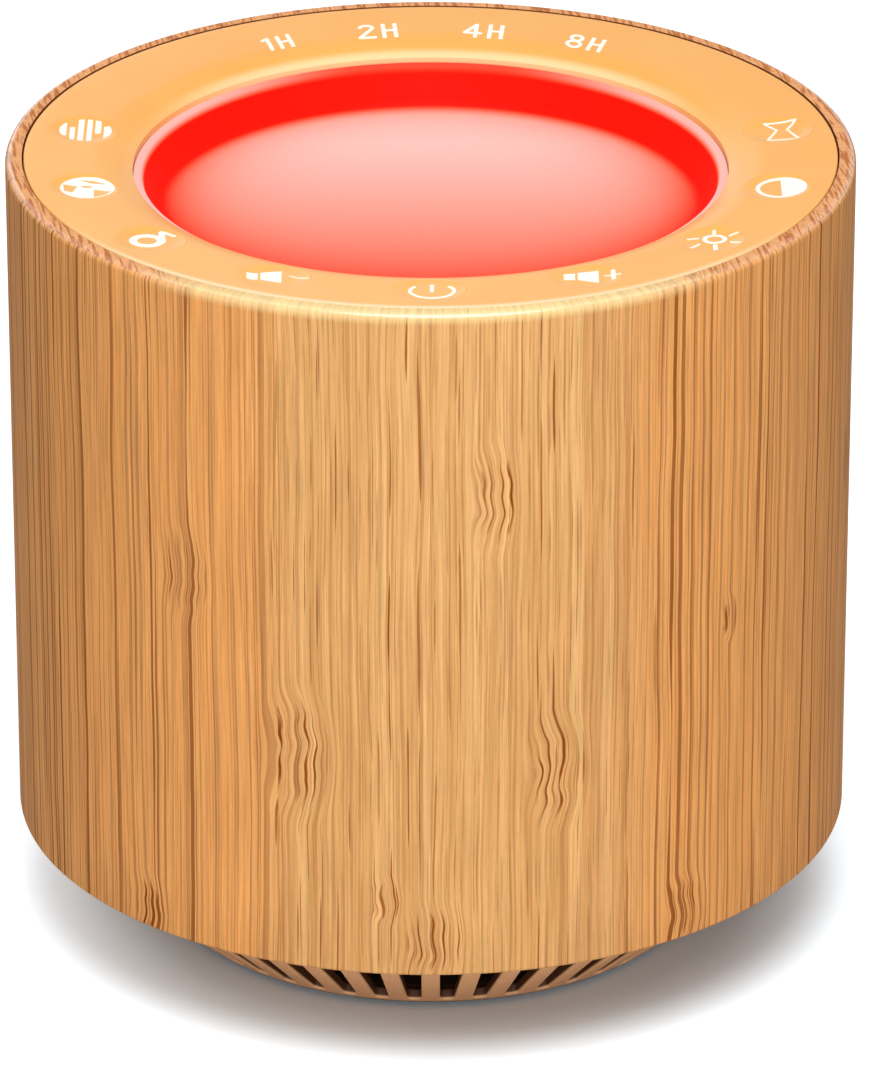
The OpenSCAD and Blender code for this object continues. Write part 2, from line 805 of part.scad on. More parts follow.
// A round-cornered bar along Y at the socket, from y outwards
module socket_cut(w, h, y, corner = 1.4) {
    translate([0, y, socket_z])
        rotate([90, 0, 180])
            linear_extrude(shell_r - y + past)
                polygon(round_box(w, h, corner));
}

module power_socket() {
    mouth_depth = 5.6;
    metal = 0.3;
    tongue_h = 0.7;
    tongue_side = 1.2;
    tongue_foot = 1;
    tongue_sink = 0.8;
    flat = 0.01;
    color("Silver")
        translate([0, board_back_y, socket_z])
            rotate([90, 0, 180])
                union() {
                    difference() {
                        linear_extrude(recess_floor_y - board_back_y)
                            polygon(round_box(port_w, port_h, port_h / 2 - flat));
                        translate([0, 0, recess_floor_y - board_back_y - mouth_depth])
                            linear_extrude(mouth_depth + past)
                                polygon(round_box(port_w - 2 * metal, port_h - 2 * metal,
                                    port_h / 2 - metal - flat));
                    }
                    translate([-port_w / 2 + tongue_side, -tongue_h / 2, tongue_foot])
                        cube([port_w - 2 * tongue_side, tongue_h,
                            recess_floor_y - board_back_y - tongue_foot - tongue_sink]);
                }
}

module socket_bezel() {
    port_gap = 0.12;
    bezel_sink = 0.15;
    recess_corner = 1;
    color("DimGray")
        difference() {
            union() {
                intersection() {
                    socket_cut(bezel_w, bezel_h, bezel_back_y);
                    rod(shell_r - bezel_sink, socket_z - bezel_h, socket_z + bezel_h);
                }
                intersection() {
                    socket_cut(bezel_w + 2 * bezel_lug, bezel_h + 2 * bezel_lug, bezel_back_y);
                    rod(bore_r - bezel_gap, socket_z - bezel_h, socket_z + bezel_h);
                }
            }
            socket_cut(recess_w, recess_h, recess_floor_y, recess_corner);
            socket_cut(port_w + 2 * port_gap, port_h + 2 * port_gap, bezel_back_y - past, port_h / 2);
        }
}

// ---- Speaker ----

module speaker_baffle() {
    color("DimGray")
        difference() {
            union() {
                ring(frame_r, speaker_hole_r, baffle_z, baffle_top_z);
                for (angle = corner_angles)
                    at(angle, floor_screw_r)
                        rod(column_d / 2, column_z, baffle_z + lap);
            }
            rod(speaker_hole_r, baffle_z, baffle_top_z + past);
            for (angle = corner_angles) {
                at(angle, floor_screw_r)
                    rod(pilot_d / 2, column_z - past, column_z + screw_bite);
                at(angle, base_screw_r)
                    rod(clearance_d / 2, baffle_z - past, baffle_top_z + past);
                at(angle, speaker_screw_r)
                    rod(pilot_d / 2, baffle_top_z - baffle_t / 2, baffle_top_z + past);
            }
        }
}

module speaker_gasket() {
    outer_inset = 0.2;
    inner_inset = 0.1;
    color("Black")
        difference() {
            ring(speaker_r - outer_inset, speaker_hole_r + inner_inset, baffle_top_z, gasket_top_z);
            for (angle = corner_angles)
                at(angle, speaker_screw_r)
                    rod(clearance_d / 2, baffle_top_z - past, gasket_top_z + past);
        }
}

module speaker_basket() {
    neck_land = 1;
    window_land = 1;
    slant_r = neck_r - basket_t;
    ledge_r = slant_r - spider_land;
    window_h = basket_depth - speaker_flange_t - 2 * window_land;
    color("SlateGray")
        difference() {
            rotate_extrude()
                polygon([[speaker_r, gasket_top_z], [speaker_r, basket_top_z],
                    [mouth_r + basket_t, basket_top_z], [neck_r, ledge_z], [neck_r, neck_top_z],
                    [magnet_hole_r - neck_land, neck_top_z],
                    [magnet_hole_r - neck_land, neck_top_z - basket_t],
                    [ledge_r, neck_top_z - basket_t], [ledge_r, ledge_z], [slant_r, ledge_z],
                    [mouth_r, basket_top_z], [mouth_r, gasket_top_z + paper_t],
                    [land_r, gasket_top_z + paper_t], [land_r, gasket_top_z]]);
            for (angle = corner_angles) {
                at(angle, speaker_screw_r)
                    rod(clearance_d / 2, gasket_top_z - past, basket_top_z + past);
                at(angle + 45, ledge_r + spider_land / 2, basket_top_z + window_land)
                    translate([0, -window_w / 2, 0])
                        cube([speaker_r, window_w, window_h]);
            }
        }
}

module speaker_front_plate() {
    color("Silver")
        ring(plate_r, winding_r + coil_gap, neck_top_z, plate_top_z);
}

module speaker_magnet() {
    color("DimGray")
        ring(magnet_r, magnet_hole_r, plate_top_z, magnet_top_z);
}

module speaker_yoke() {
    color("Silver")
        union() {
            rod(plate_r, magnet_top_z, yoke_top_z);
            rod(coil_r - coil_gap, neck_top_z, magnet_top_z + lap);
        }
}

// Flexible ring between the cone's edge and the basket, with a half roll that hangs down
module speaker_surround() {
    roll_edge = 0.1;
    rim_gap = 0.2;
    roll_r = (mouth_r - cone_r) / 2 + roll_edge;
    middle_r = (mouth_r + cone_r) / 2;
    rim_z = gasket_top_z;
    color("Black")
        rotate_extrude()
            polygon(concat(
                [[cone_r - cone_land, rim_z]],
                arc(middle_r, rim_z, roll_r, 180, 360, 8),
                [[land_r - rim_gap, rim_z], [land_r - rim_gap, rim_z + paper_t]],
                arc(middle_r, rim_z + paper_t, roll_r - paper_t, 360, 180, 8),
                [[cone_r - cone_land, rim_z + paper_t]]));
}

// Flexible disc that centres the voice coil
module speaker_spider() {
    rings = 4;
    inner_r = coil_outer_r;
    rim_gap = 0.2;
    coil_land = 0.6;
    wave = 0.4;
    outer_r = neck_r - basket_t - rim_gap;
    wave_r = inner_r + coil_land;
    web_r = outer_r - spider_land;
    top = [for (i = [0 : rings * 4])
        [wave_r + (web_r - wave_r) * i / (rings * 4), ledge_z - wave * abs(sin(i * 90 / 2))]];
    color("Goldenrod")
        rotate_extrude()
            polygon(concat(
                [[inner_r, ledge_z]], top, [[outer_r, ledge_z], [outer_r, ledge_z - paper_t]],
                [for (i = [len(top) - 1 : -1 : 0]) [top[i].x, top[i].y - paper_t]],
                [[inner_r, ledge_z - paper_t]]));
}

// Profile of the cone's front face, which flares a little towards its rim
function cone_z(r) = let (t = (r - coil_outer_r) / (cone_r - cone_land - coil_outer_r))
    cone_neck_z + (cone_rim_z - cone_neck_z) * (1 - pow(max(0, 1 - t), cone_flare));

module speaker_cone() {
    steps = 6;
    radii = [for (i = [0 : steps]) coil_outer_r + (cone_r - cone_land - coil_outer_r) * i / steps];
    color("DimGray")
        rotate_extrude()
            polygon(concat(
                [for (r = radii) [r, cone_z(r)]],
                [[cone_r, cone_rim_z], [cone_r, cone_rim_z + paper_t]],
                [for (i = [steps : -1 : 0]) [radii[i], cone_z(radii[i]) + paper_t]]));
}

// Dome over the voice coil, whose edge rests on the cone's front face
module dust_cap() {
    cap_r = cap_d / 2;
    rise = 2.6;
    ball_r = (cap_r * cap_r + rise * rise) / (2 * rise);
    edge_z = cone_z(cap_r) - paper_t;
    half = asin(cap_r / ball_r);
    color("Black")
        rotate_extrude()
            polygon(concat(
                arc(0, edge_z - rise + ball_r, ball_r, -90, half - 90, 8),
                arc(0, edge_z - rise + ball_r, ball_r - paper_t, half - 90, -90, 8)));
}

// The winding stands out past the plate by as much as the cone travels
module voice_coil() {
    winding_gap = 0.2;
    winding_z = neck_top_z + winding_gap;
    winding_top_z = plate_top_z + cone_travel;
    color("Peru")
        rotate_extrude()
            polygon([[coil_r, cone_neck_z], [coil_outer_r, cone_neck_z], [coil_outer_r, winding_z],
                [winding_r, winding_z], [winding_r, winding_top_z], [coil_r, winding_top_z]]);
}

module speaker_terminals() {
    color("Tan")
        union() {
            translate([-terminal_strip_w / 2, terminal_y, basket_top_z])
                cube([terminal_strip_w, terminal_strip_t, terminal_strip_h]);
            for (x = [-terminal_pitch / 2, terminal_pitch / 2])
                translate([x - terminal_w / 2, terminal_y, terminal_z - terminal_h / 2])
                    cube([terminal_w, terminal_t, terminal_h]);
        }
}

module speaker_screws() {
    tip_gap = 0.1;
    color("Silver")
        for (angle = corner_angles)
            at(angle, speaker_screw_r)
                screw(baffle_top_z - baffle_t / 2 + tip_gap, basket_top_z, false);
}

// ---- Base ----

// Outline of one slot in the plane of the cone, along x from the lower rim
module slot_outline() {
    low = slot_foot / sin(cone_angle);
    high = (base_h - slot_head) / sin(cone_angle);
    c = slot_corner;
    right = [[low, half_slot(low) - c], [low + c, half_slot(low + c)],
        [high - c, half_slot(high - c)], [high, half_slot(high) - c]];
    polygon(concat(right, [for (i = [3 : -1 : 0]) [right[i].x, -right[i].y]]));
}

// Half the width of a slot at distance s up the cone
function half_slot(s) =
    (base_bottom_r + s * cos(cone_angle)) * sin(180 / slot_count) - bar_w / 2;

module base_grille() {
    rim_z = floor_z + rim_h;
    rim_wall_r = base_bottom_r + rim_h / tan(cone_angle) - cone_wall;
    rim_r = base_bottom_r - rim_w;
    slot_gap = 0.3;
    color("Peru")
        difference() {
            rotate_extrude($fn = 180)
                polygon([[rim_r, floor_z], [base_bottom_r, floor_z], [base_top_r, shell_z],
                    [flange_r, shell_z], [flange_r, baffle_z], [flange_inner_r, baffle_z],
                    [flange_inner_r, shell_z], [min(base_top_r, flange_r) - cone_wall, shell_z],
                    [max(rim_wall_r, rim_r), rim_z], [rim_r, rim_z]]);
            for (i = [0 : slot_count - 1])
                at(-90 + (i + 0.5) * 360 / slot_count, base_bottom_r, floor_z)
                    rotate([0, -cone_angle, 0])
                        translate([0, 0, -past])
                            linear_extrude(grille_t + past + slot_gap)
                                slot_outline();
            for (angle = corner_angles)
                at(angle, base_screw_r)
                    union() {
                        rod(clearance_d / 2, shell_z - past, baffle_z + past);
                        rod(sunk_head_d / 2, shell_z - screw_head_h - slot_gap, shell_z);
                    }
        }
}

module base_floor() {
    color("Peru")
        difference() {
            union() {
                rod(floor_r, floor_z, floor_top_z);
                for (angle = corner_angles)
                    at(angle, floor_screw_r)
                        rod(floor_boss_d / 2, floor_top_z - lap, column_z);
            }
            ring(foot_d / 2 + foot_w / 2 + foot_gap, foot_d / 2 - foot_w / 2 - foot_gap,
                floor_z - past, foot_seat_z);
            for (angle = corner_angles)
                at(angle, floor_screw_r)
                    union() {
                        rod(sunk_head_d / 2, foot_seat_z - lap, foot_seat_z + screw_head_h);
                        rod(clearance_d / 2, floor_z, column_z + past);
                    }
        }
}

module sound_deflector() {
    foot_h = 0.8;
    tip_angle = 30;
    tip_z = floor_top_z + deflector_h;
    color("DimGray")
        rotate_extrude()
            polygon(concat(
                [[0, floor_top_z], [deflector_d / 2, floor_top_z],
                    [deflector_d / 2, floor_top_z + foot_h]],
                arc(0, tip_z - deflector_tip_r, deflector_tip_r, tip_angle, 90, 5)));
}

module base_screws() {
    color("Silver")
        for (angle = corner_angles)
            at(angle, base_screw_r)
                screw(shell_z, baffle_top_z + screw_bite);
}

module floor_screws() {
    color("Silver")
        for (angle = corner_angles)
            at(angle, floor_screw_r)
                screw(foot_seat_z + screw_head_h, column_z + screw_bite - lap);
}

module foot_ring() {
    color("DarkSlateGray")
        ring(foot_d / 2 + foot_w / 2, foot_d / 2 - foot_w / 2, 0, foot_seat_z);
}

wood_shell();
top_panel();
lamp_diffuser();
light_reflector();
lamp_board();
lamp_leds();
key_board();
key_switches();
key_leds();
timer_light_pipes();
timer_leds();
panel_screws();
inner_frame();
main_board();
sound_chip();
amplifier_chip();
capacitors();
lead_connectors();
power_socket();
socket_bezel();
speaker_baffle();
speaker_gasket();
speaker_basket();
speaker_front_plate();
speaker_magnet();
speaker_yoke();
speaker_surround();
speaker_spider();
speaker_cone();
dust_cap();
voice_coil();
speaker_terminals();
speaker_screws();
speaker_leads();
lamp_lead();
key_ribbon();
base_grille();
base_floor();
sound_deflector();
base_screws();
floor_screws();
foot_ring();
key_power();
key_volume_down();
key_volume_up();
key_lullaby();
key_brightness();
key_fan_sound();
key_light_colour();
key_white_noise();
key_timer();
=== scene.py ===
import functools
import math

import bmesh
import bpy
import numpy as np
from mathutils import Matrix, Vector


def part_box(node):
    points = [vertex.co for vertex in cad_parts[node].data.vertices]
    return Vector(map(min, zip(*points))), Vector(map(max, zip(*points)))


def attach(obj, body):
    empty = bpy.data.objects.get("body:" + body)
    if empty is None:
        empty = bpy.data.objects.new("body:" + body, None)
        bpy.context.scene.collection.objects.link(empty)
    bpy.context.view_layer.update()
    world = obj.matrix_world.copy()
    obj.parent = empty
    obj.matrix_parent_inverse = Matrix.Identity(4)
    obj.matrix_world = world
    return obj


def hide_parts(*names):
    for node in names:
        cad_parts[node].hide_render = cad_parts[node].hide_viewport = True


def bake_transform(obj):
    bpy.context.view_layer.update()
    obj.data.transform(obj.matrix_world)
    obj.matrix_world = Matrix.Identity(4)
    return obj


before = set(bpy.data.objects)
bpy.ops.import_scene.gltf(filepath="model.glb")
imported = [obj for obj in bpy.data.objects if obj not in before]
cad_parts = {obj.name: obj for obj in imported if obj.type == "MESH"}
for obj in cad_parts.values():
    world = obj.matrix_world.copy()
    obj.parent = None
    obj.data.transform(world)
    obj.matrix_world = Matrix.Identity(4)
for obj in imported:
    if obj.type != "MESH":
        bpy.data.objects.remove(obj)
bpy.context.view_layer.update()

MM = 0.001
weld_gap = 0.0005


def span(node):
    """Lowest and highest corners of a CAD node, in mm."""
    low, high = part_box(node)
    return low / MM, high / MM


# ---- Sizes ----

shell_low, shell_high = span("wood_shell")
lamp_low, lamp_high = span("lamp_diffuser")
grille_low, grille_high = span("base_grille")
foot_low, foot_high = span("foot_ring")

chamfer = 0.1

# Shell
shell_r = shell_high.x
shell_z = shell_low.z
top_z = shell_high.z
shell_wall = 3.2
bore_r = shell_r - shell_wall
seat_w = 1.2
seat_r = bore_r + seat_w
seat_z = top_z - 2.6
shell_edge_r = 0.85
shell_foot_edge_r = 0.4
mouth_edge_r = 0.05
flange_top_z = grille_high.z

# Power socket's hole in the back of the shell
socket_z = shell_z + 14
socket_hole_w = 13.8
socket_hole_h = 8.4
socket_hole_corner = 1.4
socket_hole_edge = 0.25
socket_cell_turn = 10
socket_cell_h = 14
socket_cell_rows = 20
socket_rings = 6
socket_crowding = 1.2

# Top panel
panel_r = span("top_panel")[1].x
panel_slope = math.radians(2.3)
panel_edge_r = 0.22
panel_sink = 0.04
panel_under_z = top_z - 3.2
panel_lip_r = bore_r - 0.3
panel_band = 1
collar_bottom_z = panel_under_z - 1.5
lamp_r = 35.0
lamp_hole_r = lamp_r + 0.05
collar_r = lamp_hole_r + 0.8
shoulder_w = 4.7
shoulder_start_r = lamp_r + 0.2 + shoulder_w
shoulder_turn = math.radians(31)
shoulder_r = shoulder_w / (math.sin(shoulder_turn) - math.sin(panel_slope))

# Keys
key_circle_r = (panel_r + lamp_r) / 2 + 0.3
key_r = 4.2
key_hole_r = 4.214
key_hole_edge = 0.015
key_rings = 7
key_crowding = 1.25
key_edge_r = 0.015
key_pitch = 25
key_ear = 5.8
key_ear_t = 0.8
key_ear_gap = 0.2
key_ear_corner_r = 0.4
key_ear_edge = 0.08
key_ear_lap = 2
key_stem_r = 1.5
key_stem_edge = 0.15
key_stem_root = 0.3
key_foot_z = span("key_power")[0].z
key_floor_r = 2.5
key_depth = 0.34
KEYS = ["white_noise", "fan_sound", "lullaby", "volume_down", "power",
        "volume_up", "brightness", "light_colour", "timer"]
timer_pitch = 18.4
timer_mark_r = key_circle_r - 1.1
TIMER_HOURS = ["8", "4", "2", "1"]
boss_r = 1.9
boss_bore_r = 1.05
boss_h = 6.8
boss_root = 0.2

# Lamp
lip_w = 1.0
lip_top_z = lamp_high.z
dish_floor_z = lip_top_z - 5.55
dish_wall_r = lamp_r - lip_w
dish_foot_r = dish_wall_r - 1.4
dish_fillet = 2.5
dish_under_z = lamp_low.z
lamp_body_r = lamp_r - 0.4
lamp_under_edge = 0.3
lamp_flange_z = collar_bottom_z - 1.2

# Base
base_bottom_r = 32.2
base_top_r = 46.5
floor_z = grille_low.z
base_h = shell_z - floor_z
cone_angle = math.atan(base_h / (base_top_r - base_bottom_r))
grille_t = 1.2
slot_count = 54
slot_pitch = 2 * math.pi / slot_count
bar_w = 2.2
slot_foot = 0.9
slot_head = 2.0
slot_corner_r = 0.55
slot_edge = 0.16
rim_r = base_bottom_r - 1.6
rim_h = 1.4
rim_edge_r = 0.22
flange_r = grille_high.x
flange_inner_r = 34.8
foot_w = 4.6
foot_edge_r = 0.45
foot_top_edge = 0.05

# Speaker
paper_t = 0.4
flex_sectors = 16
surround_land = 1.0
surround_middle_r = 21.2
surround_edge = 0.06
spider_inner_r = 7.25
spider_web_inner_r = 7.85
spider_web_outer_r = 14.3
spider_waves = 4

# Columns round the axis, placed so that every key's sector starts on one of them
COLUMNS = 432
column_turn = 360 / COLUMNS
first_column = -102.5
column_angles = [math.radians(first_column + i * column_turn) for i in range(COLUMNS)]


# ---- Camera ----

camera_lens = 270.5
camera_sensor_w = 36
camera_place = (0.00139, -0.87510, 0.44456)  # m
camera_tilt = 65.59


def add_camera():
    camera = bpy.data.cameras.new("camera")
    camera.lens = camera_lens
    camera.sensor_width = camera_sensor_w
    camera.clip_start = 0.01
    camera.clip_end = 50
    holder = bpy.data.objects.new("camera", camera)
    holder.location = camera_place
    holder.rotation_euler = (math.radians(camera_tilt), 0, 0)
    bpy.context.scene.collection.objects.link(holder)
    bpy.context.scene.camera = holder


# ---- Mesh helpers ----

def polar(r, a, centre=(0, 0)):
    """The point at radius r and angle a round a centre."""
    return centre[0] + r * math.cos(a), centre[1] + r * math.sin(a)


def arc(x, y, radius, start, end, steps):
    """Points on an arc from one angle to another, in degrees, both ends with it."""
    return [polar(radius, t, (x, y)) for t in np.radians(np.linspace(start, end, steps + 1))]


def make_object(name, vertices, faces, smooth=40):
    """A mesh object from points in mm: welded, with outward normals and smooth shading."""
    mesh = bpy.data.meshes.new(name)
    mesh.from_pydata([tuple(MM * c for c in v) for v in vertices], [], faces)
    work = bmesh.new()
    work.from_mesh(mesh)
    bmesh.ops.remove_doubles(work, verts=work.verts, dist=weld_gap * MM)
    bmesh.ops.recalc_face_normals(work, faces=work.faces)
    work.to_mesh(mesh)
    work.free()
    mesh.polygons.foreach_set("use_smooth", [True] * len(mesh.polygons))
    mesh.set_sharp_from_angle(angle=math.radians(smooth))
    obj = bpy.data.objects.new(name, mesh)
    bpy.context.scene.collection.objects.link(obj)
    return obj


def rounding(edge, turns=(30, 60, 90)):
    """Steps over a rounded edge: how far along the face each one is, and how far below it."""
    return [(edge * math.sin(a), edge * (1 - math.cos(a))) for a in map(math.radians, turns)]


class Shape:
    """Gathers vertices and faces of one mesh."""

    def __init__(self):
        self.vertices = []
        self.faces = []

    def row(self, points):
        start = len(self.vertices)
        self.vertices.extend(points)
        return list(range(start, len(self.vertices)))

    def join(self, a, b, closed=False):
        """Quads between two rows of as many vertices."""
        count = len(a)
        for i in range(count if closed else count - 1):
            j = (i + 1) % count
            self.faces.append((a[i], a[j], b[j], b[i]))

    def sheet(self, rows, closed=False):
        indices = [self.row(points) for points in rows]
        for a, b in zip(indices, indices[1:]):
            self.join(a, b, closed)
        return indices

    def revolve(self, profile, angles, closed_turn=True, closed_profile=False, centre=(0, 0)):
        indices = self.sheet([[(*polar(r, a, centre), z) for a in angles] for r, z in profile], closed_turn)
        if closed_profile:
            self.join(indices[-1], indices[0], closed_turn)

    def build(self, name, smooth=40):
        return make_object(name, self.vertices, self.faces, smooth)


def full_turn(count):
    return [2 * math.pi * i / count for i in range(count)]


def finish_piece(obj, material, body, slot, *nodes):
    obj.data.materials.append(material)
    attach(obj, body)
    if nodes:
        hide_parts(*nodes)
    return obj


# ---- The panel's face, which the keys share ----

shoulder_x = shoulder_start_r + shoulder_r * math.sin(panel_slope)


def slope_z(r):
    return top_z - panel_sink - (panel_r - r) * math.tan(panel_slope)


shoulder_y = slope_z(shoulder_start_r) - shoulder_r * math.cos(panel_slope)


def panel_face(r):
    """Height of the panel's upper face at radius r."""
    r = np.asarray(r, float)
    reach = np.clip(shoulder_r ** 2 - (r - shoulder_x) ** 2, 0, None)
    return np.where(r >= shoulder_start_r, slope_z(r), shoulder_y + np.sqrt(reach))


def key_face(x, y, centre):
    """Height of a key's dished face at a place."""
    rho = np.hypot(x - centre[0], y - centre[1])
    t = np.clip((rho - key_floor_r) / (key_r - key_floor_r), 0, 1)
    dip = key_depth * (1 - t * t * (3 - 2 * t))
    return panel_face(np.hypot(x, y)) - dip


def key_angle(index):
    return -90 + (index - 4) * key_pitch


def key_centre(index):
    return polar(key_circle_r, math.radians(key_angle(index)))


def boundary(columns, rows):
    """Grid places along the edge of a patch, once round: (column value, row value)."""
    low = [(c, rows[0]) for c in columns[:-1]]
    right = [(columns[-1], r) for r in rows[:-1]]
    high = [(c, rows[-1]) for c in reversed(columns[1:])]
    left = [(columns[0], r) for r in reversed(rows[1:])]
    return low + right + high + left


# ---- Shell ----

def rounded_box_field(x, y, w, h, corner):
    dx = np.abs(x) - (w / 2 - corner)
    dy = np.abs(y) - (h / 2 - corner)
    outside = np.hypot(np.maximum(dx, 0), np.maximum(dy, 0))
    return outside + np.minimum(np.maximum(dx, dy), 0) - corner


def box_edge_point(direction, w, h, corner):
    """Where a ray from the middle of a round-cornered rectangle meets its outline."""
    low, high = 0.0, max(w, h)
    for _ in range(40):
        middle = (low + high) / 2
        if rounded_box_field(direction[0] * middle, direction[1] * middle, w, h, corner) < 0:
            low = middle
        else:
            high = middle
    return direction[0] * low, direction[1] * low


def shell_hole(shape, angles, heights, radius, outer):
    """The wall round the socket's hole, at one radius. Returns the hole's own row."""
    places = [(radius * math.sin(math.pi / 2 - angle), z - socket_z)
              for angle, z in boundary(angles, heights)]
    edge = socket_hole_edge if outer else 0
    ends = []
    for x, z in places:
        length = math.hypot(x, z)
        ends.append(box_edge_point((x / length, z / length), socket_hole_w + 2 * edge,
                                   socket_hole_h + 2 * edge, socket_hole_corner + edge))

    def wall(points, depth=0.0):
        return [(x, math.sqrt(radius ** 2 - x ** 2) - depth, z + socket_z) for x, z in points]

    rings = []
    for i in range(socket_rings + 1):
        t = (1 - i / socket_rings) ** socket_crowding
        rings.append(wall([(hx + (x - hx) * t, hz + (z - hz) * t) for (x, z), (hx, hz) in zip(places, ends)]))
    if outer:
        for shrink, depth in rounding(edge):
            scale_x = 1 - shrink / (socket_hole_w / 2 + edge)
            scale_z = 1 - shrink / (socket_hole_h / 2 + edge)
            rings.append(wall([(hx * scale_x, hz * scale_z) for hx, hz in ends], depth))
    return shape.sheet(rings, closed=True)[-1]


def make_shell(material):
    shape = Shape()
    low_z = socket_z - socket_cell_h / 2
    high_z = socket_z + socket_cell_h / 2
    upper = [(shell_r, high_z)]
    upper += [(shell_r, z) for z in np.linspace(high_z, top_z - shell_edge_r, 12)[1:-1]]
    upper += arc(shell_r - shell_edge_r, top_z - shell_edge_r, shell_edge_r, 0, 90, 10)
    upper += arc(seat_r + mouth_edge_r, top_z - mouth_edge_r, mouth_edge_r, 90, 180, 3)
    upper += [(seat_r, seat_z), (bore_r, seat_z), (bore_r, high_z)]
    lower = [(bore_r, low_z), (bore_r, flange_top_z), (seat_r, flange_top_z),
             (seat_r, shell_z + chamfer), (seat_r + chamfer, shell_z)]
    lower += arc(shell_r - shell_foot_edge_r, shell_z + shell_foot_edge_r, shell_foot_edge_r, -90, 0, 5)
    lower += [(shell_r, low_z)]
    shape.revolve(upper, column_angles)
    shape.revolve(lower, column_angles)

    first = round((90 - socket_cell_turn - first_column) / column_turn)
    cell_columns = round(2 * socket_cell_turn / column_turn)
    cell = [math.radians(first_column + (first + i) * column_turn) for i in range(cell_columns + 1)]
    rest = [math.radians(first_column + (first + cell_columns + i) * column_turn)
            for i in range(COLUMNS - cell_columns + 1)]
    heights = list(np.linspace(low_z, high_z, socket_cell_rows + 1))
    ends = []
    for radius, outer in ((shell_r, True), (bore_r, False)):
        shape.revolve([(radius, z) for z in heights], rest, closed_turn=False)
        ends.append(shell_hole(shape, cell, heights, radius, outer))
    shape.join(ends[0], ends[1], closed=True)
    return finish_piece(shape.build("bamboo_shell"), material, "housing", "bamboo", "wood_shell")


# ---- Top panel ----

def panel_hole(shape, angles, radii, centre):
    """The panel round one key: its face, the hole's round edge and wall, and its underside."""
    rims = []
    for a, r in boundary(angles, radii):
        dx, dy = r * math.cos(a) - centre[0], r * math.sin(a) - centre[1]
        length = math.hypot(dx, dy)
        rims.append((dx / length, dy / length, length))

    def ring(hole_r, spread, drop=0.0, z=None):
        """A loop round the key, from a hole of that radius (spread 0) to the patch's edge (1)."""
        points = []
        for dx, dy, length in rims:
            reach = hole_r + (length - hole_r) * spread
            x, y = centre[0] + dx * reach, centre[1] + dy * reach
            points.append((x, y, float(panel_face(math.hypot(x, y))) - drop if z is None else z))
        return points

    outer_rim = key_hole_r + key_hole_edge
    rings = [ring(outer_rim, (1 - i / key_rings) ** key_crowding) for i in range(key_rings + 1)]
    rings += [ring(outer_rim - along, 0, drop) for along, drop in rounding(key_hole_edge)]
    rings += [ring(key_hole_r, spread, z=panel_under_z) for spread in (0, 1)]
    shape.sheet(rings, closed=True)


def make_panel(material):
    shape = Shape()
    inner_r = lamp_hole_r + panel_band
    radii = list(np.linspace(inner_r, shoulder_start_r, 9))
    radii += list(np.linspace(shoulder_start_r, panel_lip_r, 11))[1:]
    inner = [(collar_r, panel_under_z), (collar_r, collar_bottom_z + chamfer),
             (collar_r - chamfer, collar_bottom_z), (lamp_hole_r + chamfer, collar_bottom_z),
             (lamp_hole_r, collar_bottom_z + chamfer)]
    inner += [(r, float(panel_face(r))) for r in np.linspace(lamp_hole_r, inner_r, 6)]
    shape.revolve([(inner_r, panel_under_z)] + inner, column_angles)
    edge_x = panel_r - panel_edge_r
    edge_z = slope_z(edge_x - panel_edge_r * math.sin(panel_slope)) - panel_edge_r * math.cos(panel_slope)
    rim = arc(edge_x, edge_z, panel_edge_r, 90 + math.degrees(panel_slope), 0, 6)
    outer = [(panel_lip_r, slope_z(panel_lip_r))] + rim
    outer += [(panel_r, seat_z), (panel_lip_r, seat_z), (panel_lip_r, panel_under_z)]
    shape.revolve(outer, column_angles)

    key_columns = round(key_pitch / column_turn)
    for index in range(len(KEYS)):
        start = key_angle(index) - key_pitch / 2
        angles = [math.radians(start + i * column_turn) for i in range(key_columns + 1)]
        panel_hole(shape, angles, radii, key_centre(index))
    start = key_angle(len(KEYS) - 1) + key_pitch / 2
    count = COLUMNS - len(KEYS) * key_columns
    angles = [math.radians(start + i * column_turn) for i in range(count + 1)]
    shape.revolve([(r, float(panel_face(r))) for r in radii], angles, closed_turn=False)
    shape.revolve([(inner_r, panel_under_z), (panel_lip_r, panel_under_z)], angles, closed_turn=False)

    timer_start = 90 - 1.5 * timer_pitch
    back_boss = (key_angle(8) + timer_start) / 2
    boss_low_z, boss_high_z = panel_under_z - boss_h, panel_under_z + boss_root
    boss = [(boss_bore_r, boss_low_z), (boss_r - chamfer, boss_low_z), (boss_r, boss_low_z + chamfer),
            (boss_r, boss_high_z), (boss_bore_r, boss_high_z)]
    for angle in (-90 - 1.5 * key_pitch, -90 + 1.5 * key_pitch, back_boss, 180 - back_boss):
        centre = polar(key_circle_r, math.radians(angle))
        shape.revolve(boss, full_turn(32), closed_profile=True, centre=centre)
    return finish_piece(shape.build("top_panel_ring"), material, "housing", "panel_plastic", "top_panel")


# ---- Keys ----

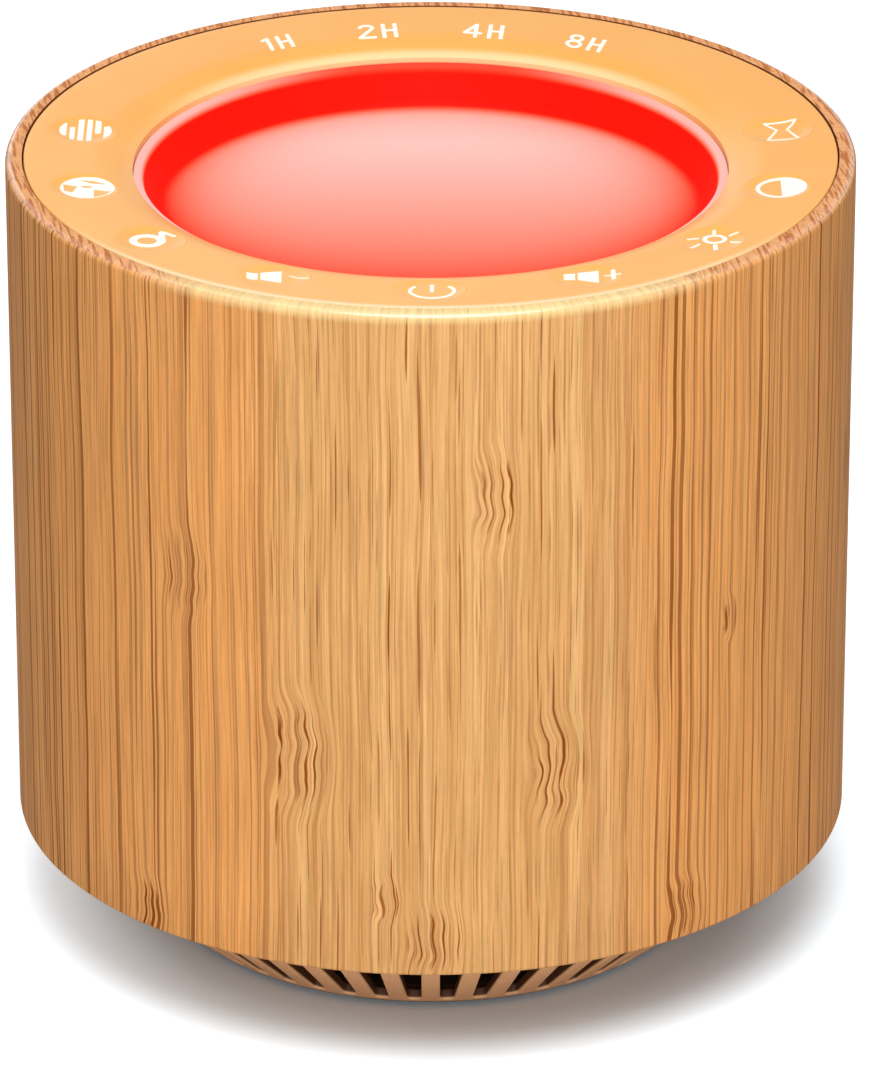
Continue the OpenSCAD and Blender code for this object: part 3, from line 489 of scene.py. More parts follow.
def make_key(index, material):
    name = KEYS[index]
    centre = key_centre(index)
    shape = Shape()
    turns = full_turn(96)

    def ring(reach, drop=0.0):
        places = [polar(reach, a, centre) for a in turns]
        return [(x, y, float(key_face(x, y, centre)) - drop) for x, y in places]

    brim_r = key_r - key_edge_r
    rings = [ring(reach) for reach in np.linspace(0, key_floor_r, 7)]
    rings += [ring(reach) for reach in np.linspace(key_floor_r, brim_r, 9)[1:]]
    rings += [ring(brim_r + along, drop) for along, drop in rounding(key_edge_r)]
    ear_z = panel_under_z - key_ear_gap - key_ear_t
    low = [(key_r, ear_z + chamfer), (key_r - chamfer, ear_z), (0, ear_z)]
    rings += [[(*polar(r, a, centre), z) for a in turns] for r, z in low]
    shape.sheet(rings, closed=True)
    stem_top_z = ear_z + key_stem_root
    stem = [(0, key_foot_z), (key_stem_r - key_stem_edge, key_foot_z),
            (key_stem_r, key_foot_z + key_stem_edge), (key_stem_r, stem_top_z), (0, stem_top_z)]
    shape.revolve(stem, full_turn(32), centre=centre)

    # The ears that keep the key under the panel: a flat bar across its foot
    corner = key_ear_corner_r
    plan = []
    for x, y, start in ((1, 1, 0), (-1, 1, 90), (-1, -1, 180), (1, -1, 270)):
        plan += arc(x * (key_r / 2 - corner), y * (key_ear - corner), corner, start, start + 90, 3)
    edge = key_ear_edge
    top_z = ear_z + key_ear_t
    levels = [(key_ear_lap, ear_z), (edge, ear_z), (0, ear_z + edge),
              (0, top_z - edge), (edge, top_z), (key_ear_lap, top_z)]
    c, s = polar(1, math.radians(key_angle(index)))
    rows = []
    for inset, z in levels:
        inside = [(u * (1 - inset / (key_r / 2 + 0.001)), v * (1 - inset / key_ear)) for u, v in plan]
        rows.append([(centre[0] + c * u - s * v, centre[1] + s * u + c * v, z) for u, v in inside])
    indices = shape.sheet(rows, closed=True)
    shape.faces += [tuple(indices[0]), tuple(indices[-1])]
    return finish_piece(shape.build("key_cap_" + name), material, "key_" + name + "_body",
                        "panel_plastic", "key_" + name)


# ---- Lamp ----

def make_lamp(material):
    lip_r = lip_w / 2
    profile = [(0, dish_floor_z)]
    profile += [(r, dish_floor_z) for r in np.linspace(4, dish_foot_r - dish_fillet - 1, 6)]
    profile += arc(dish_foot_r - dish_fillet, dish_floor_z + dish_fillet, dish_fillet, -90, -4, 10)
    profile += arc(lamp_r - lip_r, lip_top_z - lip_r, lip_r, 180, 0, 12)
    profile += [(lamp_r, collar_bottom_z), (collar_r, collar_bottom_z), (collar_r, lamp_flange_z),
                (lamp_body_r, lamp_flange_z), (lamp_body_r, dish_under_z + lamp_under_edge),
                (lamp_body_r - lamp_under_edge, dish_under_z), (0, dish_under_z)]
    shape = Shape()
    shape.revolve(profile, full_turn(288))
    return finish_piece(shape.build("lamp_dish"), material, "housing", "lamp_plastic", "lamp_diffuser")


# ---- Base grille ----

def half_slot(s):
    """Half the width of a slot at distance s up the cone."""
    return (base_bottom_r + s * math.cos(cone_angle)) * math.sin(math.pi / slot_count) - bar_w / 2


def slot_side():
    """One side of a slot from its foot to its head: (distance up, half width, outward normal)."""
    low = slot_foot / math.sin(cone_angle)
    high = (base_h - slot_head) / math.sin(cone_angle)
    corner = slot_corner_r
    turns = [math.radians(turn) for turn in (0, 22.5, 45, 67.5, 90)]
    foot = [(low + corner * (1 - math.cos(a)), half_slot(low + corner) - corner * (1 - math.sin(a)),
             -math.cos(a), math.sin(a)) for a in turns]
    head = [(high - corner * (1 - math.sin(a)), half_slot(high - corner) - corner * (1 - math.cos(a)),
             math.sin(a), math.cos(a)) for a in turns]
    middle = [low + corner + t * (high - low - 2 * corner) for t in (0.25, 0.5, 0.75)]
    return foot + [(s, half_slot(s), 0, 1) for s in middle] + head


def on_cone(s, depth):
    """Radius and height at distance s up the cone's outside, and inwards from it by a depth."""
    return (base_bottom_r + s * math.cos(cone_angle) - depth * math.sin(cone_angle),
            floor_z + s * math.sin(cone_angle) + depth * math.cos(cone_angle))


def cone_point(s, across, depth, middle):
    r, z = on_cone(s, depth)
    return (*polar(r, middle + math.asin(across / r)), z)


def bar_row(s, half, depth, middle):
    """Four points across the bar that follows the slot at an angle."""
    r, z = on_cone(s, depth)
    start = middle + math.asin(half / r)
    end = middle + slot_pitch - math.asin(half / r)
    return [(*polar(r, a), z) for a in np.linspace(start, end, 4)]


def make_grille(material):
    shape = Shape()
    side = slot_side()
    levels = [(slot_edge - along, depth) for along, depth in rounding(slot_edge, (0, 30, 60, 90))]
    levels.append((0, grille_t))
    middles = [math.radians(-90) + (i + 0.5) * slot_pitch for i in range(slot_count)]
    for middle in middles:
        loops = []
        for grow, depth in levels:
            right = [(s + ns * grow, w + nw * grow) for s, w, ns, nw in side]
            loop = right + [(right[-1][0], 0)]
            loop += [(s, -w) for s, w in reversed(right)] + [(right[0][0], 0)]
            loops.append([cone_point(s, w, depth, middle) for s, w in loop])
        shape.sheet(loops, closed=True)
        for grow, depth in ((slot_edge, 0), (0, grille_t)):
            shape.sheet([bar_row(s + ns * grow, w + nw * grow, depth, middle) for s, w, ns, nw in side])

    def ring(s, half, depth):
        """A row all round the cone, with its points on the slots' ends and across the bars."""
        points = []
        for middle in middles:
            points.append(cone_point(s, 0, depth, middle))
            points.extend(bar_row(s, half, depth, middle))
        return points

    def close_end(end, profile):
        """The rest of the cone beyond one end of the slots, from its outside round to its inside."""
        s, w, ns, nw = end
        outer = ring(s + ns * slot_edge, w + nw * slot_edge, 0)
        rows = [[(x * r / math.hypot(x, y), y * r / math.hypot(x, y), z) for x, y, _ in outer]
                for r, z in profile]
        shape.sheet([outer, *rows, ring(s, w, grille_t)], closed=True)

    bottom_turn = math.degrees(cone_angle) - 90
    wall_r = base_bottom_r + rim_h / math.tan(cone_angle) - grille_t / math.sin(cone_angle)
    low = arc(base_bottom_r - rim_edge_r, floor_z + rim_edge_r, rim_edge_r, bottom_turn, -90, 4)
    low += arc(rim_r + rim_edge_r, floor_z + rim_edge_r, rim_edge_r, -90, -180, 3)
    low += [(rim_r, floor_z + rim_h), (wall_r, floor_z + rim_h)]
    close_end(side[0], low)
    inner_top_r = base_top_r - grille_t / math.sin(cone_angle)
    close_end(side[-1], [(base_top_r, shell_z), (flange_r - chamfer, shell_z), (flange_r, shell_z + chamfer),
                         (flange_r, flange_top_z), (flange_inner_r, flange_top_z), (flange_inner_r, shell_z),
                         (inner_top_r, shell_z)])
    return finish_piece(shape.build("slotted_grille", 35), material, "housing", "base_plastic", "base_grille")


def make_foot(material):
    outer, inner = foot_high.x, foot_high.x - foot_w
    edge = foot_edge_r
    top_edge = foot_top_edge
    profile = arc(outer - edge, foot_low.z + edge, edge, 0, -90, 6)
    profile += arc(inner + edge, foot_low.z + edge, edge, -90, -180, 6)
    profile += [(inner, foot_high.z - top_edge), (inner + top_edge, foot_high.z),
                (outer - top_edge, foot_high.z), (outer, foot_high.z - top_edge)]
    shape = Shape()
    shape.revolve(profile, full_turn(192), closed_profile=True)
    return finish_piece(shape.build("rubber_foot"), material, "housing", "foot_rubber", "foot_ring")


# ---- The speaker's rings, which flex between its basket and its cone ----

def make_flexing_ring(node, name, profile, material):
    """A ring in sectors, each its own piece, all turned from one profile."""
    columns = 12
    for index in range(flex_sectors):
        turns = [2 * math.pi * (index + i / columns) / flex_sectors for i in range(columns + 1)]
        shape = Shape()
        shape.revolve(profile, turns, closed_turn=False, closed_profile=True)
        for last in (0, columns):
            shape.faces.append(tuple(last + i * (columns + 1) for i in range(len(profile))))
        piece = shape.build(f"{name}_{index + 1:02d}")
        piece.data.materials.append(material)
        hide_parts(node)
        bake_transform(piece)


def make_surround(material):
    low, high = span("speaker_surround")
    rim_z = high.z - paper_t
    inner, outer = span("speaker_cone")[1].x - surround_land, high.x
    edge = surround_edge
    profile = [(inner, rim_z + edge), (inner + edge, rim_z)]
    profile += arc(surround_middle_r, rim_z, rim_z - low.z, 180, 360, 18)
    profile += [(outer - edge, rim_z), (outer, rim_z + edge), (outer, high.z - edge), (outer - edge, high.z)]
    profile += arc(surround_middle_r, high.z, rim_z - low.z - paper_t, 360, 180, 18)
    profile += [(inner + edge, high.z), (inner, high.z - edge)]
    make_flexing_ring("speaker_surround", "surround_roll", profile,
                      material)


def make_spider(material):
    low, high = span("speaker_spider")
    outer = high.x
    web = np.linspace(spider_web_inner_r, spider_web_outer_r, 49)
    wave = high.z - paper_t - low.z
    lap = (web - spider_web_inner_r) / (spider_web_outer_r - spider_web_inner_r) * spider_waves
    top = [(r, high.z - wave * abs(math.sin(math.pi * t))) for r, t in zip(web, lap)]
    profile = [(spider_inner_r, high.z)] + top + [(outer, high.z), (outer, high.z - paper_t)]
    profile += [(r, z - paper_t) for r, z in reversed(top)] + [(spider_inner_r, high.z - paper_t)]
    make_flexing_ring("speaker_spider", "spider_disc", profile,
                      material)


# ---- Marks on the keys and the panel ----

class Field:
    """A flat shape, as a function of x and y that is negative inside it."""

    def __init__(self, value):
        self.value = value

    def __or__(self, other):
        return Field(lambda x, y: np.minimum(self.value(x, y), other.value(x, y)))

    def __and__(self, other):
        return Field(lambda x, y: np.maximum(self.value(x, y), other.value(x, y)))

    def __sub__(self, other):
        return Field(lambda x, y: np.maximum(self.value(x, y), -other.value(x, y)))

    def moved(self, right, up):
        return Field(lambda x, y: self.value(x - right, y - up))

    def thinner(self, by):
        return Field(lambda x, y: self.value(x, y) + by)


def circle(cx, cy, r):
    return Field(lambda x, y: np.hypot(x - cx, y - cy) - r)


def ellipse(cx, cy, rx, ry):
    return Field(lambda x, y: (np.hypot((x - cx) / rx, (y - cy) / ry) - 1) * min(rx, ry))


def block(x0, x1, y0, y1):
    return Field(lambda x, y: np.maximum(np.maximum(x0 - x, x - x1), np.maximum(y0 - y, y - y1)))


def stroke(a, b, width):
    """A straight line with round ends."""
    dx, dy = b[0] - a[0], b[1] - a[1]

    def value(x, y):
        t = np.clip(((x - a[0]) * dx + (y - a[1]) * dy) / (dx * dx + dy * dy), 0, 1)
        return np.hypot(x - a[0] - t * dx, y - a[1] - t * dy) - width / 2

    return Field(value)


def line(points, width):
    return functools.reduce(Field.__or__, [stroke(a, b, width) for a, b in zip(points, points[1:])])


def convex(*corners):
    """A convex shape from its corners, clockwise."""
    def value(x, y):
        return np.maximum.reduce([
            ((bx - ax) * (y - ay) - (by - ay) * (x - ax)) / math.hypot(bx - ax, by - ay)
            for (ax, ay), (bx, by) in zip(corners, corners[1:] + corners[:1])])

    return Field(value)


def speaker(left, middle, right, tall):
    """A loudspeaker seen from the side: a small box and a horn."""
    return (convex((left, 1.0), (middle - 0.12, 1.25), (middle - 0.12, -1.05), (left, -0.95))
            | convex((middle, 1.4), (right, tall), (right, -tall), (middle, -0.95)))


def power_gap(cx, cy, half_turn):
    """The wedge above a point, left open at the top of the power ring."""
    slant = math.tan(math.radians(half_turn))
    return Field(lambda x, y: np.where(y > cy, np.abs(x - cx) - np.maximum(y - cy, 0) * slant, 1.0))


KEY_MARKS = {
    "white_noise": circle(0.2, -0.05, 3.2) & (
        block(-3.2, -1.95, -1.75, 4) | block(-1.75, -0.95, -4, 1.05) | block(-0.78, 0.1, -4, 4)
        | block(0.27, 1.08, -4, 4) | stroke((1.68, 4), (1.68, -0.4), 0.9) | block(2.27, 4, -4, 1.4)),
    # Three broad blades that run into their ring, with the gaps between them cut out
    "fan_sound": (circle(0, 0, 3.3) - (
        convex((-2.75, 1.0), (-1.3, 0.55), (-1.75, -1.3), (-2.6, -0.85))
        | convex((0.85, -0.35), (2.75, -0.75), (1.95, -2.1), (0.95, -2.65))
        | convex((-0.75, 2.5), (0.4, 2.4), (1.9, 1.65), (0.5, 1.75))
        | ellipse(-0.1, 0.6, 0.5, 0.24))).moved(0.37, -0.25),
    "lullaby": (circle(-0.5, -0.25, 2.15) - circle(-0.5, -0.25, 1.05)
                | stroke((1.1, 2.3), (1.3, -0.4), 0.95) | stroke((1.5, 2.35), (2.6, 1.4), 0.6)),
    "volume_down": speaker(-3.3, -1.7, 0.88, 2.0) | stroke((1.7, 0.37), (3.85, -1.0), 0.42),
    "power": (ellipse(0.2, -0.25, 2.82, 2.52) - ellipse(0.2, -0.25, 2.17, 1.87)
              - power_gap(0.2, -0.25, 50) | block(0.2 - 0.32, 0.2 + 0.32, -0.6, 1.9)),
    "volume_up": (speaker(-2.6, -1.0, 1.55, 2.05)
                  | stroke((2.15, 0.36), (4.05, 0.04), 0.42) | stroke((3.1, 1.3), (3.15, -0.9), 0.7)),
    "brightness": (circle(0.62, 0.25, 1.53) - circle(0.62, 0.25, 0.8)
                   | stroke((0.62, 2.6), (0.62, 2.0), 0.62) | stroke((0.62, -1.75), (0.62, -3.35), 0.75)
                   | stroke((-2.4, 0.5), (-1.3, 0.62), 0.55) | stroke((-2.2, -2.5), (-1.2, -1.25), 0.55)
                   | stroke((2.4, 1.2), (3.3, 1.5), 0.5) | stroke((2.5, -0.75), (3.4, -1.6), 0.6)),
    "light_colour": (circle(0.52, -0.2, 3.1)
                     - (circle(0.52, -0.2, 2.4) & Field(lambda x, y: x - 0.42))),
    "timer": line([(-1.5, 2.1), (2.2, 2.7), (1.1, 0.3), (2.4, -2.7), (-1.3, -3.0), (-0.1, 0.1),
                   (-1.5, 2.1)], 0.5),
}
mark_raise = 0.4
mark_thin = 0.10
mark_limit_r = 4.08
mark_reach = 4.4
mark_step = 0.08
mark_lift = 0.035
mark_sink = 0.05


# Figures and the letter H, each about its own middle
letter_w = 0.52
letter_half = 2.05
pen_half = letter_half - letter_w / 2
LETTERS = {
    "H": (block(-0.98, -0.98 + letter_w, -letter_half, letter_half)
          | block(0.98 - letter_w, 0.98, -letter_half, letter_half) | block(-0.8, 0.8, -0.26, 0.26)),
    "8": (ellipse(0, 1.0, 0.98, 1.1) - ellipse(0, 1.0, 0.98 - letter_w, 1.1 - letter_w)
          | ellipse(0, -0.95, 1.12, 1.15) - ellipse(0, -0.95, 1.12 - letter_w, 1.15 - letter_w)),
    "4": line([(0.4, -pen_half), (0.4, pen_half), (-0.95, -0.8), (1.0, -0.8)], letter_w),
    "2": line(arc(0, 1.02, 0.78, 165, -35, 11) + [(-0.85, -pen_half), (0.95, -pen_half)], letter_w),
    "1": line([(-0.45, 1.35), (0.2, pen_half), (0.2, -pen_half)], letter_w),
}
letter_lean = 0.5
letter_reach = 1.42
figure_one_reach = 1.15


def timer_label(hours, angle):
    """A figure and an H, side by side along the panel's curve, both nearly upright."""
    c, s = polar(1, math.radians(angle - 90))
    scale = c * c + letter_lean * s * s
    reach = figure_one_reach if hours == "1" else letter_reach
    pair = LETTERS[hours].moved(-reach, 0) | LETTERS["H"].moved(reach, 0)
    return Field(lambda x, y: pair.value((x * c + letter_lean * y * s) / scale, (y * c - x * s) / scale))


def make_mark(name, centre, shape, surface, material, body):
    """A thin raised mark over a surface: the inside of a field, with walls round its edge."""
    steps = np.linspace(-mark_reach, mark_reach, int(2 * mark_reach / mark_step) + 1)
    x, y = np.meshgrid(steps, steps, indexing="ij")
    field = shape.value(x, y)
    inside = field < 0
    plan, found = [], {}

    def vertex(a, b):
        key = (min(a, b), max(a, b))
        if key not in found:
            t = 0.0 if a == b else field[key[0]] / (field[key[0]] - field[key[1]])
            found[key] = len(plan)
            plan.append((x[key[0]] + (x[key[1]] - x[key[0]]) * t, y[key[0]] + (y[key[1]] - y[key[0]]) * t))
        return found[key]

    tops = []
    busy = inside[:-1, :-1] | inside[1:, :-1] | inside[1:, 1:] | inside[:-1, 1:]
    for i, j in zip(*np.nonzero(busy)):
        corners = [(int(i) + di, int(j) + dj) for di, dj in ((0, 0), (1, 0), (1, 1), (0, 1))]
        face = []
        for a, b in zip(corners, corners[1:] + corners[:1]):
            if inside[a]:
                face.append(vertex(a, a))
            if inside[a] != inside[b]:
                face.append(vertex(a, b))
        tops.append(face)
    plan = np.array(plan) + np.array(centre)
    height = surface(plan[:, 0], plan[:, 1])
    count = len(plan)
    vertices = [(px, py, h + lift) for lift in (mark_lift, -mark_sink) for (px, py), h in zip(plan, height)]
    edges = {(a, b) for face in tops for a, b in zip(face, face[1:] + face[:1])}
    faces = tops + [[i + count for i in reversed(face)] for face in tops]
    faces += [[b, a, a + count, b + count] for a, b in edges if (b, a) not in edges]
    obj = make_object(name, vertices, faces, 50)
    return finish_piece(obj, material, body, "white_plastic")


def make_marks(material):
    for index, name in enumerate(KEYS):
        centre = key_centre(index)
        shape = KEY_MARKS[name].moved(0, mark_raise).thinner(mark_thin) & circle(0, 0, mark_limit_r)
        make_mark("mark_" + name, centre, shape, lambda x, y: key_face(x, y, centre),
                  material, "key_" + name + "_body")
    for index, hours in enumerate(TIMER_HOURS):
        angle = 90 + (index - 1.5) * timer_pitch
        make_mark("mark_timer_" + hours, polar(timer_mark_r, math.radians(angle)), timer_label(hours, angle),
                  lambda x, y: panel_face(np.hypot(x, y)), material, "housing")


# ---- Materials ----

# Colours as they look on a screen, 0 to 255
WOOD_LIGHT = (247, 192, 127)
WOOD_MIDDLE = (228, 169, 104)
WOOD_ROSY = (226, 160, 104)
WOOD_SIDE = (251, 171, 96)
WOOD_DARK = (146, 68, 4)
RIM_LIGHT = (242, 174, 118)
RIM_DARK = (196, 118, 66)
RIM_PAINTED_HIGHLIGHT = (255, 222, 158)
BORE_PAINTED_SHADE = (118, 66, 34)
PANEL_LIGHT = (255, 185, 97)
PANEL_DARK = (255, 181, 92)
PANEL_SHADE = (248, 170, 84)
PANEL_PAINTED_HIGHLIGHT = (255, 232, 182)
BASE_LIGHT = (255, 196, 144)
BASE_SHADE = (248, 186, 132)
BASE_PAINTED_SHADE = (84, 48, 26)
PAD_SILVER = (206, 200, 188)
WHITE = (255, 255, 255)

# Knuckles in the bamboo: middle across and along, half width, half height, bulge of the lines
KNUCKLES = [(-30, 61, 3.2, 4.6, 0.5), (-15.3, 41, 3.6, 6.2, 1.2), (15.2, 39, 3.2, 5.4, 1.1),
            (7.6, 74, 2.4, 5.0, 0.8), (0.5, 18, 3.4, 3.6, 0.6), (-5, 23, 1.6, 2.4, 0.4),
            (-36, 16, 2.6, 3.4, 0.6), (32, 17.5, 2.6, 3.4, 0.6), (38.4, 53, 1.1, 2.4, 0.5),
            (70, 62, 3, 5, 0.9), (-74, 40, 3.4, 5, 1.0), (104, 34, 3.2, 5, 1.0),
            (-112, 70, 3, 5, 0.8), (140, 55, 3, 4, 0.8), (-138, 28, 3.4, 5, 1.0)]
strip_count = 35


def shader_colour(screen):
    """A screen colour in the linear form that a shader takes."""
    channels = [c / 255 / 12.92 if c <= 10 else ((c / 255 + 0.055) / 1.055) ** 2.4 for c in screen]
    return (*channels, 1)


def arithmetic(operation):
    return lambda value, other: value.graph.math(operation, value, other)


class Value:
    """What a node gives at every point of a surface, with the usual arithmetic."""

    def __init__(self, graph, socket):
        self.graph = graph
        self.socket = socket

    def output(self, key):
        """Another output of the same node."""
        return Value(self.graph, self.socket.node.outputs[key])

    def linear(self, low, high, to_low=0.0, to_high=1.0, kind="LINEAR"):
        return self.graph.node("ShaderNodeMapRange", {
            "Value": self, "From Min": low, "From Max": high, "To Min": to_low, "To Max": to_high},
            interpolation_type=kind)

    def smooth(self, low, high, to_low=0.0, to_high=1.0):
        return self.linear(low, high, to_low, to_high, "SMOOTHSTEP")

    def between(self, to_low, to_high):
        """The middle part of a noise spread over another range."""
        return self.linear(0.3, 0.7, to_low, to_high)

    def spread(self, to_low, to_high):
        """0 to 1 spread over another range."""
        return self.linear(0.0, 1.0, to_low, to_high)

    def __abs__(self):
        return self.graph.math("ABSOLUTE", self)

    __add__ = arithmetic("ADD")
    __sub__ = arithmetic("SUBTRACT")
    __mul__ = arithmetic("MULTIPLY")
    __truediv__ = arithmetic("DIVIDE")
    __pow__ = arithmetic("POWER")


def most(first, *others):
    for other in others:
        first = first.graph.math("MAXIMUM", first, other)
    return first


def distance(x, y):
    return x.graph.math("SQRT", x * x + y * y)


class Graph:
    """The nodes of a material or a world, with short calls for those that most of them need."""

    def __init__(self, data, shader="Principled BSDF", **inputs):
        data.use_nodes = True
        self.data = data
        self.nodes = data.node_tree.nodes
        self.links = data.node_tree.links
        self.shader = self.nodes[shader]
        for name, value in inputs.items():
            self.set(name.replace("_", " "), value)

    def put(self, socket, value):
        """A value is linked to a socket. A number, or a screen colour as a tuple, is set on it."""
        if isinstance(value, Value):
            self.links.new(value.socket, socket)
        else:
            socket.default_value = shader_colour(value) if isinstance(value, tuple) else value

    def set(self, name, value):
        self.put(self.shader.inputs[name], value)

    def node(self, kind, inputs=None, output=0, **settings):
        """A new node, as the value that one of its outputs gives."""
        node = self.nodes.new(kind)
        for key, value in settings.items():
            setattr(node, key, value)
        for key, value in (inputs or {}).items():
            self.put(node.inputs[key], value)
        return Value(self, node.outputs[output])

    def math(self, operation, a, b=0.0, clamp=False):
        return self.node("ShaderNodeMath", {0: a, 1: b}, operation=operation, use_clamp=clamp)

    def paint(self, base, *coats):
        """A base colour, and over it one colour after another, each by its own amount."""
        for amount, colour in coats:
            base = self.mix(amount, base, colour)
        return base

    def mix(self, amount, a, b, blend="MIX"):
        return self.node("ShaderNodeMix", {0: amount, 6: a, 7: b}, output=2,
                         data_type="RGBA", blend_type=blend)

    def colour(self, red, green, blue):
        return self.node("ShaderNodeCombineColor", {0: red, 1: green, 2: blue})

    def place(self):
        """The point on the object in mm, as three values."""
        point = self.node("ShaderNodeTexCoord", output="Object")
        apart = self.node("ShaderNodeSeparateXYZ", {0: point})
        return [apart.output(i) * 1000.0 for i in range(3)]

    def vector(self, x, y=0.0, z=0.0):
        return self.node("ShaderNodeCombineXYZ", {0: x, 1: y, 2: z})

    def noise(self, place, scale=1.0, detail=2.0, roughness=0.5):
        return self.node("ShaderNodeTexNoise", {"Vector": self.vector(*place), "Scale": scale,
                                                "Detail": detail, "Roughness": roughness})

    def finish(self, colour, roughness, height, strength, depth):
        """What every material sets. The bump's height goes from 0 to 1 and stands for a depth in mm."""
        bump = {"Height": height, "Strength": strength, "Distance": depth * MM}
        self.set("Base Color", colour)
        self.set("Roughness", roughness)
        self.set("Normal", self.node("ShaderNodeBump", bump))
        return self.data


def new_material(name, roughness=0.5, metallic=0.0):
    return Graph(bpy.data.materials.new(name), Roughness=roughness, Metallic=metallic)


def bamboo():
    """Bamboo strips on end: long fine lines at the sides, tapering dashes in front, and knuckles."""
    g = new_material("bamboo")
    x, y, z = g.place()
    across = g.math("ARCTAN2", x, y * -1.0) * shell_r
    radius = distance(x, y)
    along = z + shell_r - radius

    # Strips, each with its own tone and its own stretch of grain
    strip = g.math("FLOOR", across / (2 * math.pi * shell_r / strip_count))
    tone = g.node("ShaderNodeTexWhiteNoise", {"W": strip}, noise_dimensions="1D")
    grain = along + tone * 400.0

    knot = push = None
    for middle_across, middle_along, half_w, half_h, bulge in KNUCKLES:
        u = (across - middle_across) / half_w
        v = (along - middle_along) / half_h
        off = u * u + v * v
        mask = off.smooth(1.6, 0.3)
        side = off.smooth(2.4, 0.0) * -bulge
        knot = mask if knot is None else most(knot, mask)
        push = side if push is None else push + side

    # The lines wander a little everywhere, and bend and ripple at the knuckles
    wander = g.noise((across * 0.05, grain * 0.03))
    ripple = g.noise((across * 0.22, along * 0.34), detail=0.0)
    bent = across + (wander - 0.5) * 1.3 + push + (ripple - 0.5) * knot * 1.1

    def streaks(spacing, half_w, length, low, high, seed):
        """Dark lines that swell and taper along their length, and the pale band beside each."""
        cell = g.node("ShaderNodeTexVoronoi", {"W": bent / spacing + seed, "Scale": 1.0},
                      voronoi_dimensions="1D")
        chance = g.node("ShaderNodeSeparateColor", {0: cell.output("Color")})
        swell = g.noise((chance * 91.0, grain / length), detail=1.0).linear(low, high)
        beyond = cell * spacing - swell * chance.output(1).spread(0.35, 1.5) * half_w
        shown = swell.linear(0.0, 0.3)
        line = beyond.linear(0.05, -0.05) * shown * chance.output(2).spread(0.35, 1.0)
        return line, beyond.linear(0.34, 0.06) * shown

    # Long lines away from the front, dashes across it
    kind = g.noise((across * 0.07, 5.0), detail=1.0).smooth(0.38, 0.6)
    side = abs(across - 3.0).smooth(17.0, 27.0)
    lined = (side * kind.spread(0.55, 1.0)).spread(0.34, 1.0)
    dashed = side.spread(1.0, 0.35)
    long_line, long_pale = streaks(1.25, 0.18, 75.0, 0.36, 0.48, 3.7)
    fine_line = streaks(0.58, 0.085, 50.0, 0.42, 0.54, 11.3)[0]
    dash_line, dash_pale = streaks(1.4, 0.13, 19.0, 0.49, 0.63, 29.1)
    tick_line = streaks(0.7, 0.075, 11.0, 0.48, 0.60, 47.9)[0]
    knot_line, knot_pale = streaks(0.82, 0.14, 7.0, 0.28, 0.46, 71.3)
    dark_part = most(long_line * lined, fine_line * 0.7 * lined.spread(0.3, 1.0), dash_line * dashed,
                     tick_line * 0.7 * dashed, knot_line * (knot * 1.25))
    dark_part = g.math("MINIMUM", dark_part, 1.0)
    pale_part = most(long_pale * lined, dash_pale * dashed, knot_pale * knot)

    bands = g.noise((bent * 0.45, grain * 0.008), detail=3.0, roughness=0.6)
    broad = g.noise((across * 0.10, grain * 0.006), detail=1.0)
    fibres = g.noise((bent * 4.2, grain * 0.10), detail=3.0)
    pores = g.noise((bent * 3.0, grain * 0.8))
    hairs = g.noise((bent * 1.9, grain * 0.05))
    wood = g.paint(WOOD_LIGHT,
                   (bands.smooth(0.34, 0.66), WOOD_MIDDLE),
                   (broad.smooth(0.4, 0.65, 0.0, 0.35), WOOD_MIDDLE),
                   (tone.smooth(0.6, 1.0, 0.0, 0.3), WOOD_ROSY),
                   (knot * 0.15, WOOD_ROSY),
                   (side * 0.75, WOOD_SIDE),
                   (pale_part * 0.30, WOOD_LIGHT),
                   (dark_part * 0.97, WOOD_DARK))

    # The rim's top shows the ends of straight layers that run from front to back, and is painted pale at the
    # front as a painted highlight
    layers = g.noise((x * 2.3 + y * 0.4, y * 0.2), detail=1.0, roughness=0.6)
    rim = g.paint(RIM_LIGHT, (layers.smooth(0.48, 0.60), RIM_DARK),
                  (y.smooth(-35.0, -45.0, 0.0, 0.85), RIM_PAINTED_HIGHLIGHT))
    rim_part = radius.smooth(shell_r - 0.22, shell_r - 0.42)
    # A painted highlight in pale cream down the rounded edge at the front
    front_edge_painted_highlight = z.smooth(top_z - 1.5, top_z - 0.6) * y.smooth(-35.0, -46.0, 0.0, 0.6)
    # Painted shade in dark brown in the seam between the rim and the panel, and down the bore
    bore = radius.smooth(seat_r + 0.04, seat_r + 0.01)
    colour = g.paint(wood, (rim_part, rim), (front_edge_painted_highlight, RIM_PAINTED_HIGHLIGHT), (bore, BORE_PAINTED_SHADE))
    tint = fibres.between(0.88, 1.08) * pores.between(0.97, 1.02)
    tint = tint * hairs.between(0.88, 1.09)
    colour = g.mix(1.0, colour, g.colour(tint, tint, tint), "MULTIPLY")
    height = (fibres * 0.4 - dark_part) * rim_part.spread(1.0, 0.3)

    # The rounded edge is polished, the side is nearly matt
    polished = g.math("SUBTRACT", radius.smooth(shell_r - 0.9, shell_r - 0.55),
                      radius.smooth(shell_r - 0.2, shell_r - 0.04), clamp=True)
    g.set("Specular IOR Level", 0.05)
    g.set("Coat Roughness", 0.22)
    g.set("Coat IOR", 1.7)
    g.set("Coat Weight", polished)
    return g.finish(colour, fibres.linear(0.2, 0.8, 0.46, 0.56), height, 0.4, 0.05)


